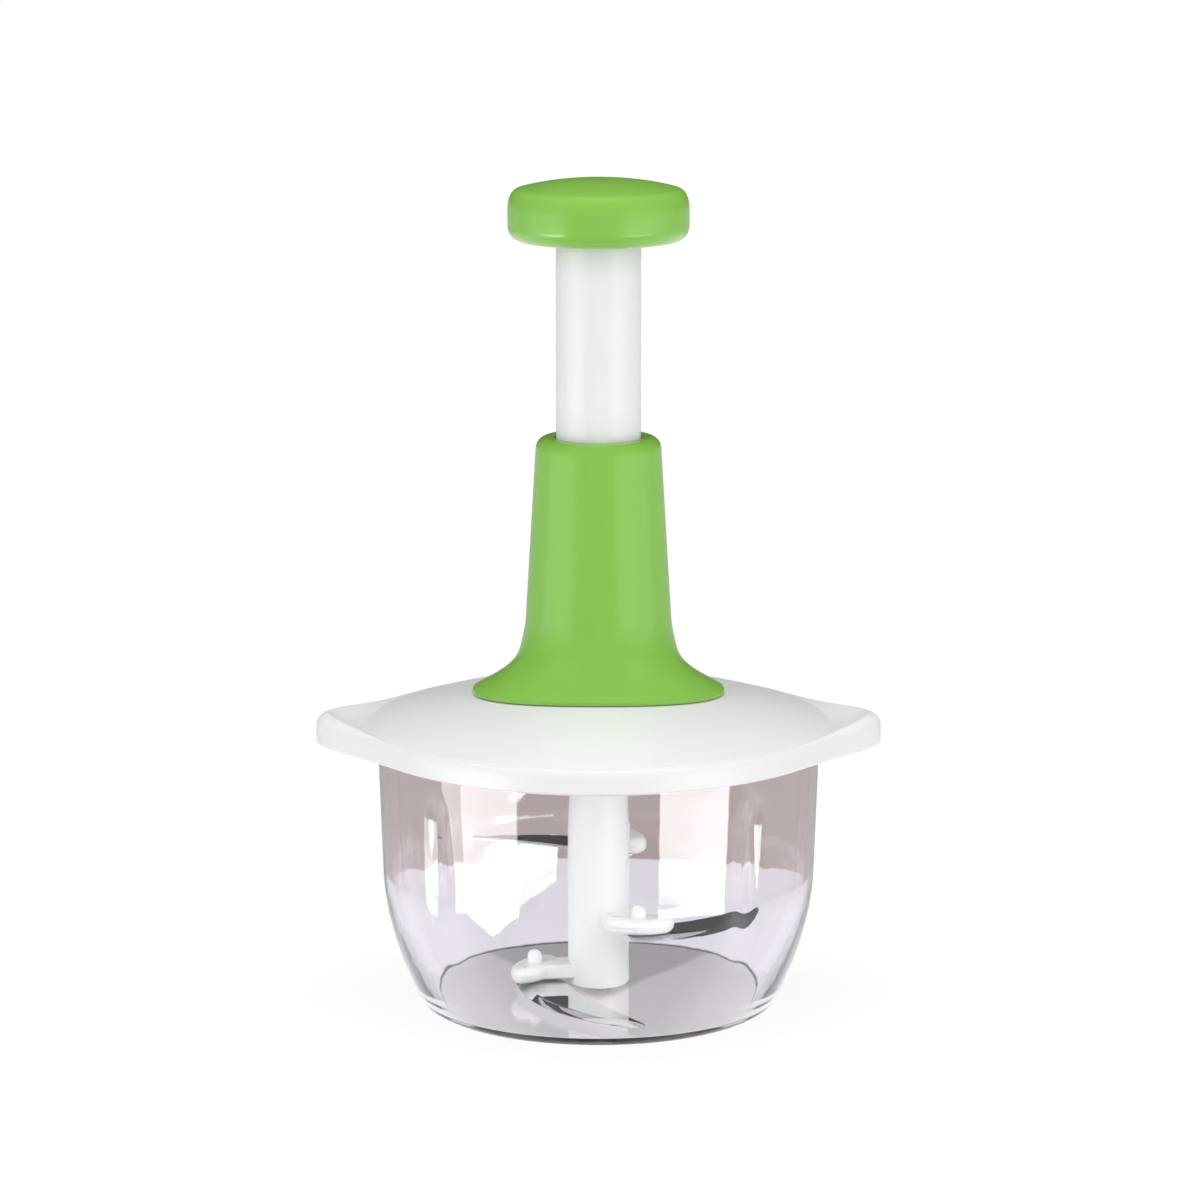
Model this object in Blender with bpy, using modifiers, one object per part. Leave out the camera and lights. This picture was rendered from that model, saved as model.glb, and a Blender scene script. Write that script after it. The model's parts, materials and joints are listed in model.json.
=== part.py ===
"""Hand-press food chopper: a clear bowl with a three-blade rotor, and a lid that carries a tower
with a plunger. Pressing the knob pushes a nut down a twisted rod, and the rod turns the blades
through a one-way clutch. Metres, +Z up, origin at the middle of the bowl's foot."""

import math

import bmesh
import bpy
from mathutils import Matrix

# Clearances
GAP = 0.0003
OVERRUN = 0.002
MERGE = 0.00001

# Facets round each turned piece
LARGE_STEPS = 36
TOWER_STEPS = 28
MEDIUM_STEPS = 20
SMALL_STEPS = 12
SCREW_STEPS = 8

# Bowl
BOWL_HEIGHT = 0.0820
BOWL_RIM_RADIUS = 0.0654
BOWL_LEAN = 0.0014
BOWL_SHOULDER_HEIGHT = 0.0420
BOWL_HEEL_INSET = 0.0118
BOWL_HEEL_ROUND = 0.0012
BOWL_HEEL_THICKENING = 0.0005
BOWL_WALL = 0.0024
BOWL_FLOOR = 0.0026
BOWL_CURVE_POWER = 1.85
BOWL_LOWER_SHARES = (0.06, 0.16, 0.32, 0.54, 0.78, 1.0)
BOWL_UPPER_SHARES = (0.3, 0.55, 0.68, 0.8, 1.0)
FLUTE_COUNT = 4
FLUTE_DEPTH = 0.0026
FLUTE_HALF_WIDTH = 0.0056
FLUTE_TOP_HALF_WIDTH = 0.0030
FLUTE_WIDENING = 0.0300
FLUTE_TOP_DROP = 0.0080
FLUTE_TOP_FADE = 0.0100
FLUTE_BOTTOM = 0.0160
FLUTE_BOTTOM_FADE = 0.0320
FLUTE_ANGLE_SHARES = (0.0, 0.07, 0.16, 0.30, 0.52, 0.76, 1.0)
BOSS_RADIUS = 0.0040
BOSS_HEIGHT = 0.0034
PIVOT_RADIUS = 0.0020
PIVOT_DEPTH = 0.0030
PIVOT_REACH = 0.0100

# Blade rotor
COLUMN_RADIUS = 0.0092
COLUMN_NECK_RADIUS = 0.0083
COLUMN_FOOT_CLEARANCE = 0.0010
COLUMN_NECK_LENGTH = 0.0155
COLUMN_EDGE = 0.0006
COLUMN_BUSH_RADIUS = 0.0039
HEX_ACROSS_FLATS = 0.0100
HEX_ENGAGEMENT = 0.0087
HEX_CLEARANCE = 0.0003
PIN_FLOOR_CLEARANCE = 0.0007
MIDDLE_BLADE_HEIGHT = 0.0225
UPPER_BLADE_HEIGHT = 0.0405
MIDDLE_PIN_ANGLE = -52.3
BLADE_PITCH_ANGLE = 120.0
PIN_CIRCLE_RADIUS = 0.0193
PIN_RADIUS = 0.0022
PIN_HEAD_RADIUS = 0.0031
PIN_HEAD = 0.0008
PIN_PROUD = 0.0038
ARM_HALF_LENGTH = 0.0105
ARM_HALF_WIDTH = 0.0056
ARM_THICKNESS = 0.0050
ARM_ROUND = 0.0018
ARM_STEPS = 12
ARM_WEB_WIDTH = 0.0098
ARM_TURN_ANGLE = 52.3
BLADE_THICKNESS = 0.0010
BLADE_EDGE_THICKNESS = 0.0002
BLADE_BEVEL = 0.0030
BLADE_COLUMN_CLEARANCE = 0.0002
BLADE_ROOT_MARGIN = 0.0052
BLADE_ROOT_ANGLE = -13.7
BLADE_WALL_CLEARANCE = 0.0127
LOWER_BLADE_CLEARANCE = 0.0010
BLADE_SWEEPS = {"lower": 113.0, "middle": 81.0, "upper": 86.0}
BLADE_TIP_SHARE = 0.985
BLADE_TIP_POWERS = (5, 0.8)
BLADE_STATION_POWER = 1.5
BLADE_POWERS = {"lower": 2.1, "middle": 1.4, "upper": 1.4}
BLADE_ROOT_WIDTH_SHARE = 0.62
BLADE_FULL_WIDTH_SHARE = 0.30
BLADE_STATIONS = 16
BLADE_SLOPE_SHARE = 0.01

# Lid
LID_CLEARANCE = 0.0012
LID_WALL = 0.0020
LID_SKIRT_DROP = 0.0043
LID_RIM_RISE = 0.0027
LID_RIM_ROUND = 0.0022
LID_RIM_WIDTH = 0.0011
LID_EDGE_ROUND = 0.0006
EAR_REACH = 0.0149
EAR_ANGLE = 15.5
EAR_POWER = 1.7
EAR_RISE = 0.0010
EAR_GUTTER = 0.0013
EAR_POCKET_ROOF = 0.0020
EAR_POCKET_SPREAD_SHARE = 1.3
LID_ANGLE_SHARES = (0.0, 0.045, 0.095, 0.15, 0.215, 0.3, 0.45, 0.63, 0.82)
DOME_FOOT_RISE = 0.0002
DOME_SLOPE = 0.24
DOME_BULGE = 0.0008
DOME_SHARES = (0.0, 0.15, 0.35, 0.65, 1.0)
GUTTER_SHARES = (0.25, 0.5, 0.75)
LANDING_CLEARANCE = 0.0006
DECK_THICKNESS = 0.0025
DECK_MARGIN = 0.0015

# Mechanism cover and seal
COVER_PLATE = 0.0020
COVER_WALL = 0.0028
COVER_WALL_TOP = 0.0012
SEAL_GROOVE_DEPTH = 0.0012
SEAL_GROOVE_RISE = 0.0015
SEAL_HEIGHT = 0.0024
SPIGOT_CLEARANCE = 0.0007
SPIGOT_DEPTH = 0.0054
SPIGOT_LIP = 0.0004
HUB_WALL = 0.0024
HUB_DROP = 0.0065
COVER_BOSS_SHARE = 0.585
COVER_SCREW_COUNT = 3
TOWER_SCREW_COUNT = 4
TOWER_SCREW_INSET = 0.0009
TOWER_BOSS_HEIGHT_SHARE = 0.66
SCREW_RADIUS = 0.0015
SCREW_HEAD_RADIUS = 0.0030
SCREW_HEAD = 0.0016
SCREW_BOSS_RADIUS = 0.0035
COVER_SCREW_BITE = 0.0090
TOWER_SCREW_BITE = 0.0058

# Tower
TOWER_HEIGHT = 0.0750
TOWER_ROOM = 0.0018
TOWER_TOP_ROUND = 0.0034
TOWER_TAPER = 0.06
TOWER_WALL = 0.0022
TOWER_LIP = 0.0025
TOWER_NECK_RISE = 0.0124
TOWER_NECK_SWELL = 0.0011
TOWER_NECK_BLEND = 0.0080
TOWER_BASE_LENGTH = 0.0744
TOWER_BASE_WIDTH = 0.0564
TOWER_BASE_BAND = 0.0015
TOWER_BASE_ROUND = 0.0006
FLARE_POWER = 2.67
FLARE_SHARES = (0.0, 0.06, 0.15, 0.27, 0.44, 0.68, 1.0)
TOWER_SHAFT_SHARES = (0.06, 0.14, 0.5, 1.0)
RAIL_COUNT = 2
RAIL_WIDTH = 0.0030
RAIL_CLEARANCE = 0.0004

# Plunger and knob
STROKE = 0.0550
PLUNGER_WALL = 0.0022
PLUNGER_FOOT_CLEARANCE = 0.0035
PLUNGER_SHOULDER = 0.0014
PLUNGER_WEB = 0.0025
FLANGE_WIDTH = 0.0018
FLANGE_THICKNESS = 0.0030
KNOB_STOP_CLEARANCE = 0.0024
KNOB_RADIUS = 0.0264
KNOB_HEIGHT = 0.0170
KNOB_DOME = 0.0010
KNOB_TOP_ROUND = 0.0055
KNOB_FOOT_ROUND = 0.0045
KNOB_WALL = 0.0026
KNOB_SOCKET_DEPTH = 0.0115
KNOB_SOCKET_WALL = 0.0024
KNOB_LIP = 0.0007
KNOB_BASE_THICKNESS = 0.0022
KNOB_SCREW_BITE = 0.0038
ROUND_STEPS = 3

# Drive
TWIST_LEAD = 0.0275
ROD_WIDTH = 0.0070
ROD_THICKNESS = 0.0030
ROD_TOP_CLEARANCE = 0.0010
ROD_SHANK_RADIUS = 0.0040
ROD_COLLAR_WIDTH = 0.0022
ROD_COLLAR = 0.0020
ROD_SQUARE = 0.0050
ROD_SQUARE_LENGTH = 0.0065
TWIST_STEP_ANGLE = 15.0
SLOT_STEP_ANGLE = 9.0
NUT_HEIGHT = 0.0070
NUT_KEY_WIDTH = 0.0030
NUT_KEY_HEIGHT = 0.0010
NUT_SLOT_CLEARANCE = 0.0004
WASHER_THICKNESS = 0.0008
BUSH_WALL = 0.0026
BUSH_FLANGE = 0.0015
BUSH_PROUD = 0.0012
SPRING_PRESSED = 0.0144
SPRING_CLEARANCE = 0.0008
BORE_CLEARANCE = 0.0020
SPRING_WIRE_RADIUS = 0.0006
SPRING_TURNS = 10
SPRING_TURN_POINTS = 9
CLIP_RADIUS = 0.0072
CLIP_GROOVE = 0.0008
CLIP_THICKNESS = 0.0008
CLIP_MOUTH_WIDTH = 0.0050

# One-way clutch
DOG_LIFT = 0.0016
DOG_RADIUS = 0.0110
DOG_BODY = 0.0035
DOG_TEETH = 8
DOG_TOOTH_HEIGHT = 0.0015
DOG_TOOTH_GAP = 0.0005
DOG_TOOTH_TURN_ANGLE = 3.0
DOG_TOOTH_SHARES = (0.0, 0.5, 0.98)
DOG_CUP_CLEARANCE = 0.0009
DOG_CUP_DEPTH = 0.0020
DOG_SPRING_RADIUS = 0.0058
DOG_SPRING_WIRE_RADIUS = 0.00025
DOG_SPRING_TURNS = 2.5
COUPLING_FLANGE_RADIUS = 0.0125
COUPLING_FLANGE = 0.0017
COUPLING_RADIUS = 0.0100
COUPLING_FOOT_CLEARANCE = 0.0015
COUPLING_BUSH_WALL = 0.0017
COUPLING_BUSH_FLANGE = 0.0012
HEX_SIDES = 6

# Radii worked out from the sizes above, from the axis outwards
ROD_COLLAR_RADIUS = ROD_SHANK_RADIUS + ROD_COLLAR_WIDTH
SPRING_RADIUS = ROD_COLLAR_RADIUS + SPRING_CLEARANCE + SPRING_WIRE_RADIUS
BORE_RADIUS = SPRING_RADIUS + SPRING_WIRE_RADIUS + BORE_CLEARANCE
NUT_RADIUS = BORE_RADIUS - GAP
DOG_CUP_RADIUS = DOG_SPRING_RADIUS + DOG_SPRING_WIRE_RADIUS + DOG_CUP_CLEARANCE
PLUNGER_RADIUS = BORE_RADIUS + PLUNGER_WALL
MOUTH_RADIUS = PLUNGER_RADIUS + GAP
FLANGE_RADIUS = PLUNGER_RADIUS + FLANGE_WIDTH
TOWER_TOP_RADIUS = FLANGE_RADIUS + TOWER_ROOM + TOWER_WALL
TOWER_BASE_X = TOWER_BASE_LENGTH / 2
TOWER_BASE_Y = TOWER_BASE_WIDTH / 2
KNOB_FLOOR_RADIUS = KNOB_RADIUS - KNOB_FOOT_ROUND - KNOB_LIP
BUSH_BORE = ROD_SHANK_RADIUS + GAP
BUSH_RADIUS = BUSH_BORE + BUSH_WALL
COUPLING_BUSH_BORE = COUPLING_RADIUS + GAP
COUPLING_BUSH_RADIUS = COUPLING_BUSH_BORE + COUPLING_BUSH_WALL
HUB_BORE = COUPLING_BUSH_RADIUS + GAP
HUB_RADIUS = HUB_BORE + HUB_WALL
BOWL_SHOULDER_RADIUS = BOWL_RIM_RADIUS - BOWL_LEAN
BOWL_HEEL_RADIUS = BOWL_SHOULDER_RADIUS - BOWL_HEEL_INSET
BOWL_FLOOR_RADIUS = BOWL_HEEL_RADIUS - BOWL_WALL - BOWL_HEEL_THICKENING
BLADE_ROOT_RADIUS = PIN_CIRCLE_RADIUS + BLADE_ROOT_MARGIN
BLADE_WIDTH = BLADE_ROOT_RADIUS - COLUMN_RADIUS - BLADE_COLUMN_CLEARANCE
SKIRT_RADIUS = BOWL_RIM_RADIUS + LID_CLEARANCE
LID_RADIUS = SKIRT_RADIUS + LID_WALL
DOME_RADIUS = LID_RADIUS - LID_RIM_WIDTH

# Levels worked out from the sizes above, from the table up
SEAT_Z = BOWL_HEIGHT + GAP
SKIRT_Z = SEAT_Z - LID_SKIRT_DROP
RIM_Z = SEAT_Z + LID_RIM_RISE
DECK_Z = RIM_Z + DOME_FOOT_RISE + DOME_SLOPE * (DOME_RADIUS - TOWER_BASE_Y)
DECK_UNDER_Z = DECK_Z - DECK_THICKNESS
TOWER_TOP_Z = DECK_Z + TOWER_HEIGHT
KNOB_Z = TOWER_TOP_Z + STROKE + KNOB_STOP_CLEARANCE
BUSH_TOP_Z = DECK_Z + GAP + BUSH_FLANGE
THRUST_Z = BUSH_TOP_Z + GAP
COLLAR_Z = THRUST_Z + WASHER_THICKNESS + GAP
SPRING_Z = BUSH_TOP_Z + GAP
SPRING_LENGTH = SPRING_PRESSED + STROKE
PLUNGER_Z = DECK_Z + PLUNGER_FOOT_CLEARANCE + STROKE
SPRING_WASHER_Z = SPRING_Z + SPRING_LENGTH + GAP
NUT_Z = SPRING_WASHER_Z + WASHER_THICKNESS + GAP
NUT_TOP_Z = NUT_Z + NUT_HEIGHT
SOCKET_Z = KNOB_Z + KNOB_SOCKET_DEPTH
PLUNGER_TOP_Z = SOCKET_Z - GAP
KNOB_SCREW_SEAT_Z = PLUNGER_TOP_Z - PLUNGER_WEB - GAP
ROD_TOP_Z = KNOB_SCREW_SEAT_Z - SCREW_HEAD - STROKE - ROD_TOP_CLEARANCE
BUSH_FOOT_Z = DECK_UNDER_Z - BUSH_PROUD
CLIP_Z = BUSH_FOOT_Z - GAP - CLIP_THICKNESS
DOG_TOP_Z = CLIP_Z - GAP - DOG_LIFT
DOG_Z = DOG_TOP_Z - DOG_BODY
TEETH_Z = DOG_Z - DOG_TOOTH_HEIGHT - DOG_TOOTH_GAP
ROD_FOOT_Z = CLIP_Z - ROD_SQUARE_LENGTH
COUPLING_SEAT_Z = TEETH_Z - COUPLING_FLANGE
COUPLING_BUSH_Z = COUPLING_SEAT_Z - GAP - COUPLING_BUSH_FLANGE
COVER_Z = COUPLING_BUSH_Z - GAP - COVER_PLATE
SPIGOT_Z = min(SEAT_Z - SPIGOT_DEPTH, COVER_Z) - SPIGOT_LIP
HUB_Z = COVER_Z - HUB_DROP
COUPLING_FOOT_Z = HUB_Z - COUPLING_FOOT_CLEARANCE
COLUMN_SHOULDER_Z = COUPLING_FOOT_Z - COUPLING_FOOT_CLEARANCE
HEX_TOP_Z = COUPLING_FOOT_Z + HEX_ENGAGEMENT
COLUMN_Z = BOWL_FLOOR + COLUMN_FOOT_CLEARANCE
BOSS_Z = BOWL_FLOOR + BOSS_HEIGHT
PIVOT_TOP_Z = BOSS_Z + PIVOT_REACH
FLUTE_TOP_Z = BOWL_HEIGHT - FLUTE_TOP_DROP
LOWER_BLADE_Z = BOWL_FLOOR + PIN_FLOOR_CLEARANCE + PIN_HEAD + GAP
BLADE_LEVELS = {"lower": LOWER_BLADE_Z, "middle": MIDDLE_BLADE_HEIGHT,
                "upper": UPPER_BLADE_HEIGHT}

COLOURS = {
    "clear_plastic": ((0.86, 0.86, 0.90), 0.06, 0.0),
    "white_plastic": ((0.86, 0.87, 0.87), 0.28, 0.0),
    "green_plastic": ((0.25, 0.55, 0.085), 0.22, 0.0),
    "nylon": ((0.80, 0.79, 0.74), 0.40, 0.0),
    "silicone": ((0.75, 0.76, 0.77), 0.55, 0.0),
    "blade_steel": ((0.62, 0.63, 0.65), 0.16, 1.0),
    "spring_steel": ((0.55, 0.55, 0.57), 0.30, 1.0),
}


def clear_scene():
    for old in list(bpy.data.objects):
        bpy.data.objects.remove(old, do_unlink=True)


def new_collection(name, hidden=False):
    found = bpy.data.collections.new(name)
    bpy.context.scene.collection.children.link(found)
    found.hide_render = hidden
    return found


def new_material(name):
    colour, roughness, metallic = COLOURS[name]
    made = bpy.data.materials.new(name)
    made.use_nodes = True
    shader = made.node_tree.nodes["Principled BSDF"]
    shader.inputs["Base Color"].default_value = (*colour, 1.0)
    shader.inputs["Roughness"].default_value = roughness
    shader.inputs["Metallic"].default_value = metallic
    return made


clear_scene()
PARTS = new_collection("hand_press_chopper")
CUTTERS = new_collection("cutters", hidden=True)
MATERIALS = {name: new_material(name) for name in COLOURS}


def place(made, finish):
    """Puts a new object among the parts with its finish, or among the cutters if it has none."""
    (PARTS if finish else CUTTERS).objects.link(made)
    if finish:
        made.data.materials.append(MATERIALS[finish])
        return made
    made.hide_render = True
    made.display_type = "WIRE"
    return made


def shade(mesh):
    mesh.shade_smooth()
    mesh.set_sharp_from_angle(angle=math.radians(35))


def object_from(name, built, finish):
    mesh = bpy.data.meshes.new(name)
    built.to_mesh(mesh)
    built.free()
    shade(mesh)
    return place(bpy.data.objects.new(name, mesh), finish)


def turned(name, profile, finish, steps, closed=False):
    """A turned piece: its profile of (radius, height) runs from top to bottom on the outer side."""
    mesh = bpy.data.meshes.new(name)
    count = len(profile)
    edges = [(i, i + 1) for i in range(count - 1)]
    if closed:
        edges.append((count - 1, 0))
    mesh.from_pydata([(radius, 0, z) for radius, z in profile], edges, [])
    made = place(bpy.data.objects.new(name, mesh), finish)
    screw = made.modifiers.new("Turn", "SCREW")
    screw.axis = "Z"
    screw.angle = math.tau
    screw.steps = screw.render_steps = steps
    screw.use_merge_vertices = True
    screw.merge_threshold = MERGE
    shown = made.evaluated_get(bpy.context.evaluated_depsgraph_get())
    whole = bpy.data.meshes.new_from_object(shown)
    made.modifiers.clear()
    made.data = whole
    bpy.data.meshes.remove(mesh)
    whole.name = name
    shade(whole)
    return made


def ring(name, inner, outer, low, high, finish, steps):
    """A plain ring, such as a washer or a bush without a flange."""
    profile = [(outer, high), (outer, low), (inner, low), (inner, high)]
    return turned(name, profile, finish, steps, closed=True)


def cylinder(name, radius, low, high, finish, steps, at=(0, 0)):
    built = bmesh.new()
    middle = Matrix.Translation((at[0], at[1], (low + high) / 2))
    bmesh.ops.create_cone(built, cap_ends=True, segments=steps, radius1=radius,
                          radius2=radius, depth=high - low, matrix=middle)
    return object_from(name, built, finish)


def box(name, size, middle, finish, turn=0.0):
    """A box of the given size, turned about the Z axis after it is moved to its middle."""
    built = bmesh.new()
    scale = Matrix.Diagonal((*size, 1.0))
    spin = Matrix.Rotation(turn, 4, "Z")
    bmesh.ops.create_cube(built, size=1.0, matrix=spin @ Matrix.Translation(middle) @ scale)
    return object_from(name, built, finish)


def prism(name, outline, low, high, finish):
    """A flat outline of (x, y) points, counter-clockwise from above, raised from low to high."""
    built = bmesh.new()
    face = built.faces.new([built.verts.new((x, y, low)) for x, y in outline])
    raised = bmesh.ops.extrude_face_region(built, geom=[face])["geom"]
    moved = [item for item in raised if isinstance(item, bmesh.types.BMVert)]
    bmesh.ops.translate(built, verts=moved, vec=(0, 0, high - low))
    bmesh.ops.recalc_face_normals(built, faces=built.faces)
    return object_from(name, built, finish)


def loft(name, sections, finish):
    """A skin over sections with equally many points each, with both ends capped."""
    built = bmesh.new()
    rows = [[built.verts.new(point) for point in section] for section in sections]
    count = len(rows[0])
    for low, high in zip(rows, rows[1:]):
        for i in range(count):
            j = (i + 1) % count
            built.faces.new((low[i], low[j], high[j], high[i]))
    built.faces.new(rows[0])
    built.faces.new(rows[-1])
    bmesh.ops.recalc_face_normals(built, faces=built.faces)
    return object_from(name, built, finish)


def coil(name, radius, wire, low, length, turns, finish):
    """A wound spring: a helix whose wire's lowest and highest points are its two ends' faces."""
    count = round(turns * SPRING_TURN_POINTS)
    curve = bpy.data.curves.new(name, "CURVE")
    curve.dimensions = "3D"
    curve.bevel_depth = wire
    curve.bevel_resolution = 1
    curve.use_fill_caps = True
    spline = curve.splines.new("POLY")
    spline.points.add(count)
    points = []
    for i in range(count + 1):
        angle = math.tau * turns * i / count
        height = low + wire + (length - 2 * wire) * i / count
        points.append((radius * math.cos(angle), radius * math.sin(angle), height))
    for point, at in zip(spline.points, points):
        point.co = (*at, 1.0)
    pitch = (length - 2 * wire) / turns
    print(name, "least gap between turns", round(1000 * (pitch - 2 * wire), 2), "mm")
    return place(bpy.data.objects.new(name, curve), finish)


def cut(target, cutter):
    change = target.modifiers.new("Cut", "BOOLEAN")
    change.operation = "DIFFERENCE"
    change.object = cutter
    return target


def join(target, other):
    change = target.modifiers.new("Join", "BOOLEAN")
    change.operation = "UNION"
    change.object = other
    return target


def polar(radius, degrees):
    angle = math.radians(degrees)
    return radius * math.cos(angle), radius * math.sin(angle)


def spread(count, first=0.0):
    """Angles in degrees of a ring of equally spaced copies."""
    return [first + 360 * i / count for i in range(count)]


def corner(middle_radius, middle_z, size, start, end):
    """Points of a rounded corner in a profile, from one angle to another in degrees."""
    found = []
    for i in range(ROUND_STEPS + 1):
        x, z = polar(size, start + (end - start) * i / ROUND_STEPS)
        found.append((middle_radius + x, middle_z + z))
    return found


def smooth(value):
    value = min(max(value, 0.0), 1.0)
    return value * value * (3 - 2 * value)


# Bowl


def bowl_outside(z):
    """Outer radius: a full curve from the heel up to the shoulder, then a slightly leaning wall."""
    if z >= BOWL_SHOULDER_HEIGHT:
        lean = (z - BOWL_SHOULDER_HEIGHT) / (BOWL_HEIGHT - BOWL_SHOULDER_HEIGHT)
        return BOWL_SHOULDER_RADIUS + (BOWL_RIM_RADIUS - BOWL_SHOULDER_RADIUS) * lean
    left = (1 - z / BOWL_SHOULDER_HEIGHT) ** BOWL_CURVE_POWER
    return BOWL_SHOULDER_RADIUS - (BOWL_SHOULDER_RADIUS - BOWL_HEEL_RADIUS) * left


def bowl_inside(z):
    if z >= BOWL_SHOULDER_HEIGHT:
        return bowl_outside(z) - BOWL_WALL
    wide = BOWL_SHOULDER_RADIUS - BOWL_WALL
    left = 1 - (z - BOWL_FLOOR) / (BOWL_SHOULDER_HEIGHT - BOWL_FLOOR)
    return wide - (wide - BOWL_FLOOR_RADIUS) * left ** BOWL_CURVE_POWER


def flute_depth(radius, degrees, z):
    """How far the wall is pressed in at a flute: a long drop that widens and fades downwards."""
    pitch = 360 / FLUTE_COUNT
    away = abs((degrees + pitch) % pitch - pitch / 2)
    widened = smooth((FLUTE_TOP_Z - z) / FLUTE_WIDENING)
    half = FLUTE_TOP_HALF_WIDTH + (FLUTE_HALF_WIDTH - FLUTE_TOP_HALF_WIDTH) * widened
    across = math.radians(away) * radius / half
    above = smooth((FLUTE_TOP_Z - z) / FLUTE_TOP_FADE)
    below = smooth((z - FLUTE_BOTTOM) / FLUTE_BOTTOM_FADE)
    return FLUTE_DEPTH * math.exp(-across * across) * above * below


def bowl_angles():
    """Angles round the bowl, closer together across each flute."""
    half = 180 / FLUTE_COUNT
    found = []
    for middle in spread(FLUTE_COUNT, half):
        found += [middle - half * share for share in reversed(FLUTE_ANGLE_SHARES[1:])]
        found += [middle + half * share for share in FLUTE_ANGLE_SHARES[:-1]]
    return found


def bowl_section(radius, z):
    return [(*polar(radius - flute_depth(radius, a, z), a), z) for a in bowl_angles()]


def make_bowl():
    span = BOWL_HEIGHT - BOWL_SHOULDER_HEIGHT
    low = [BOWL_SHOULDER_HEIGHT * share for share in BOWL_LOWER_SHARES]
    high = [BOWL_SHOULDER_HEIGHT + span * share for share in BOWL_UPPER_SHARES]
    deep = BOWL_SHOULDER_HEIGHT - BOWL_FLOOR
    inner = [BOWL_FLOOR + deep * share for share in (0.0, *BOWL_LOWER_SHARES)]
    sections = [bowl_section(BOWL_HEEL_RADIUS - BOWL_HEEL_ROUND, 0.0)]
    sections += [bowl_section(bowl_outside(z), z) for z in low + high]
    sections += [bowl_section(bowl_inside(z), z) for z in reversed(inner + high)]
    bowl = loft("bowl", sections, "clear_plastic")
    boss = cylinder("bowl_boss", BOSS_RADIUS, BOWL_FLOOR / 2, BOSS_Z, None, SMALL_STEPS)
    join(bowl, boss)
    hole_low = BOSS_Z - PIVOT_DEPTH
    hole = cylinder("pivot_hole", PIVOT_RADIUS + GAP, hole_low, BOSS_Z + OVERRUN, None, SMALL_STEPS)
    cut(bowl, hole)
    point = PIVOT_RADIUS / 2
    profile = [(0, PIVOT_TOP_Z), (PIVOT_RADIUS - point, PIVOT_TOP_Z),
               (PIVOT_RADIUS, PIVOT_TOP_Z - point), (PIVOT_RADIUS, hole_low + GAP),
               (0, hole_low + GAP)]
    turned("pivot_pin", profile, "spring_steel", SMALL_STEPS)


# Blade rotor


def pin_angle(name):
    turns = {"lower": -1, "middle": 0, "upper": 1}[name]
    return MIDDLE_PIN_ANGLE + turns * BLADE_PITCH_ANGLE


def blade_reach(name):
    if name == "lower":
        return bowl_inside(BLADE_LEVELS[name]) - LOWER_BLADE_CLEARANCE
    return BOWL_RIM_RADIUS - BLADE_WALL_CLEARANCE


def blade_edge(name, share):
    """A point of the sharp outer edge: its radius grows as a power of the share of the sweep."""
    grown = share ** BLADE_POWERS[name]
    radius = BLADE_ROOT_RADIUS + (blade_reach(name) - BLADE_ROOT_RADIUS) * grown
    return polar(radius, pin_angle(name) + BLADE_ROOT_ANGLE + BLADE_SWEEPS[name] * share)


def blade_width(share):
    rise = math.sin(min(share / BLADE_FULL_WIDTH_SHARE, 1.0) * math.pi / 2)
    root = BLADE_ROOT_WIDTH_SHARE + (1 - BLADE_ROOT_WIDTH_SHARE) * rise
    inner, outer = BLADE_TIP_POWERS
    return BLADE_WIDTH * root * (1 - share ** inner) ** outer


def blade_section(name, share, low):
    """A cross-section square to the sharp edge, thin at that edge and bevelled on top."""
    x, y = blade_edge(name, share)
    before = blade_edge(name, max(share - BLADE_SLOPE_SHARE, 0.0))
    after = blade_edge(name, share + BLADE_SLOPE_SHARE)
    along = math.hypot(after[0] - before[0], after[1] - before[1])
    inward = ((before[1] - after[1]) / along, (after[0] - before[0]) / along)
    wide = blade_width(share)
    bevel = min(BLADE_BEVEL, wide / 2)
    top = low + BLADE_THICKNESS
    thin = low + BLADE_EDGE_THICKNESS
    corners = ((0.0, low), (0.0, thin), (bevel, top), (wide, top), (wide, low))
    return [(x + inward[0] * d, y + inward[1] * d, z) for d, z in corners]


def make_blade(name):
    low = BLADE_LEVELS[name]
    shares = []
    for i in range(BLADE_STATIONS + 1):
        left = (1 - i / BLADE_STATIONS) ** BLADE_STATION_POWER
        shares.append(BLADE_TIP_SHARE * (1 - left))
    sections = [blade_section(name, share, low) for share in shares]
    blade = loft("blade_" + name, sections, "blade_steel")
    at = polar(PIN_CIRCLE_RADIUS, pin_angle(name))
    hole = cylinder("hole_" + name, PIN_RADIUS + GAP, low - OVERRUN,
                    low + BLADE_THICKNESS + OVERRUN, None, SMALL_STEPS, at)
    cut(blade, hole)


def make_blade_pin(name):
    """A pin with a flat head under the blade and a domed end that stands above the arm."""
    low = BLADE_LEVELS[name] - GAP
    top = BLADE_LEVELS[name] + BLADE_THICKNESS + GAP + ARM_THICKNESS + PIN_PROUD
    profile = [(0, top)]
    profile += corner(0, top - PIN_RADIUS, PIN_RADIUS, 90, 0)[1:]
    profile += [(PIN_RADIUS, low), (PIN_HEAD_RADIUS, low), (PIN_HEAD_RADIUS, low - PIN_HEAD),
                (0, low - PIN_HEAD)]
    pin = turned("blade_pin_" + name, profile, "white_plastic", SMALL_STEPS)
    pin.location = (*polar(PIN_CIRCLE_RADIUS, pin_angle(name)), 0)


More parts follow.
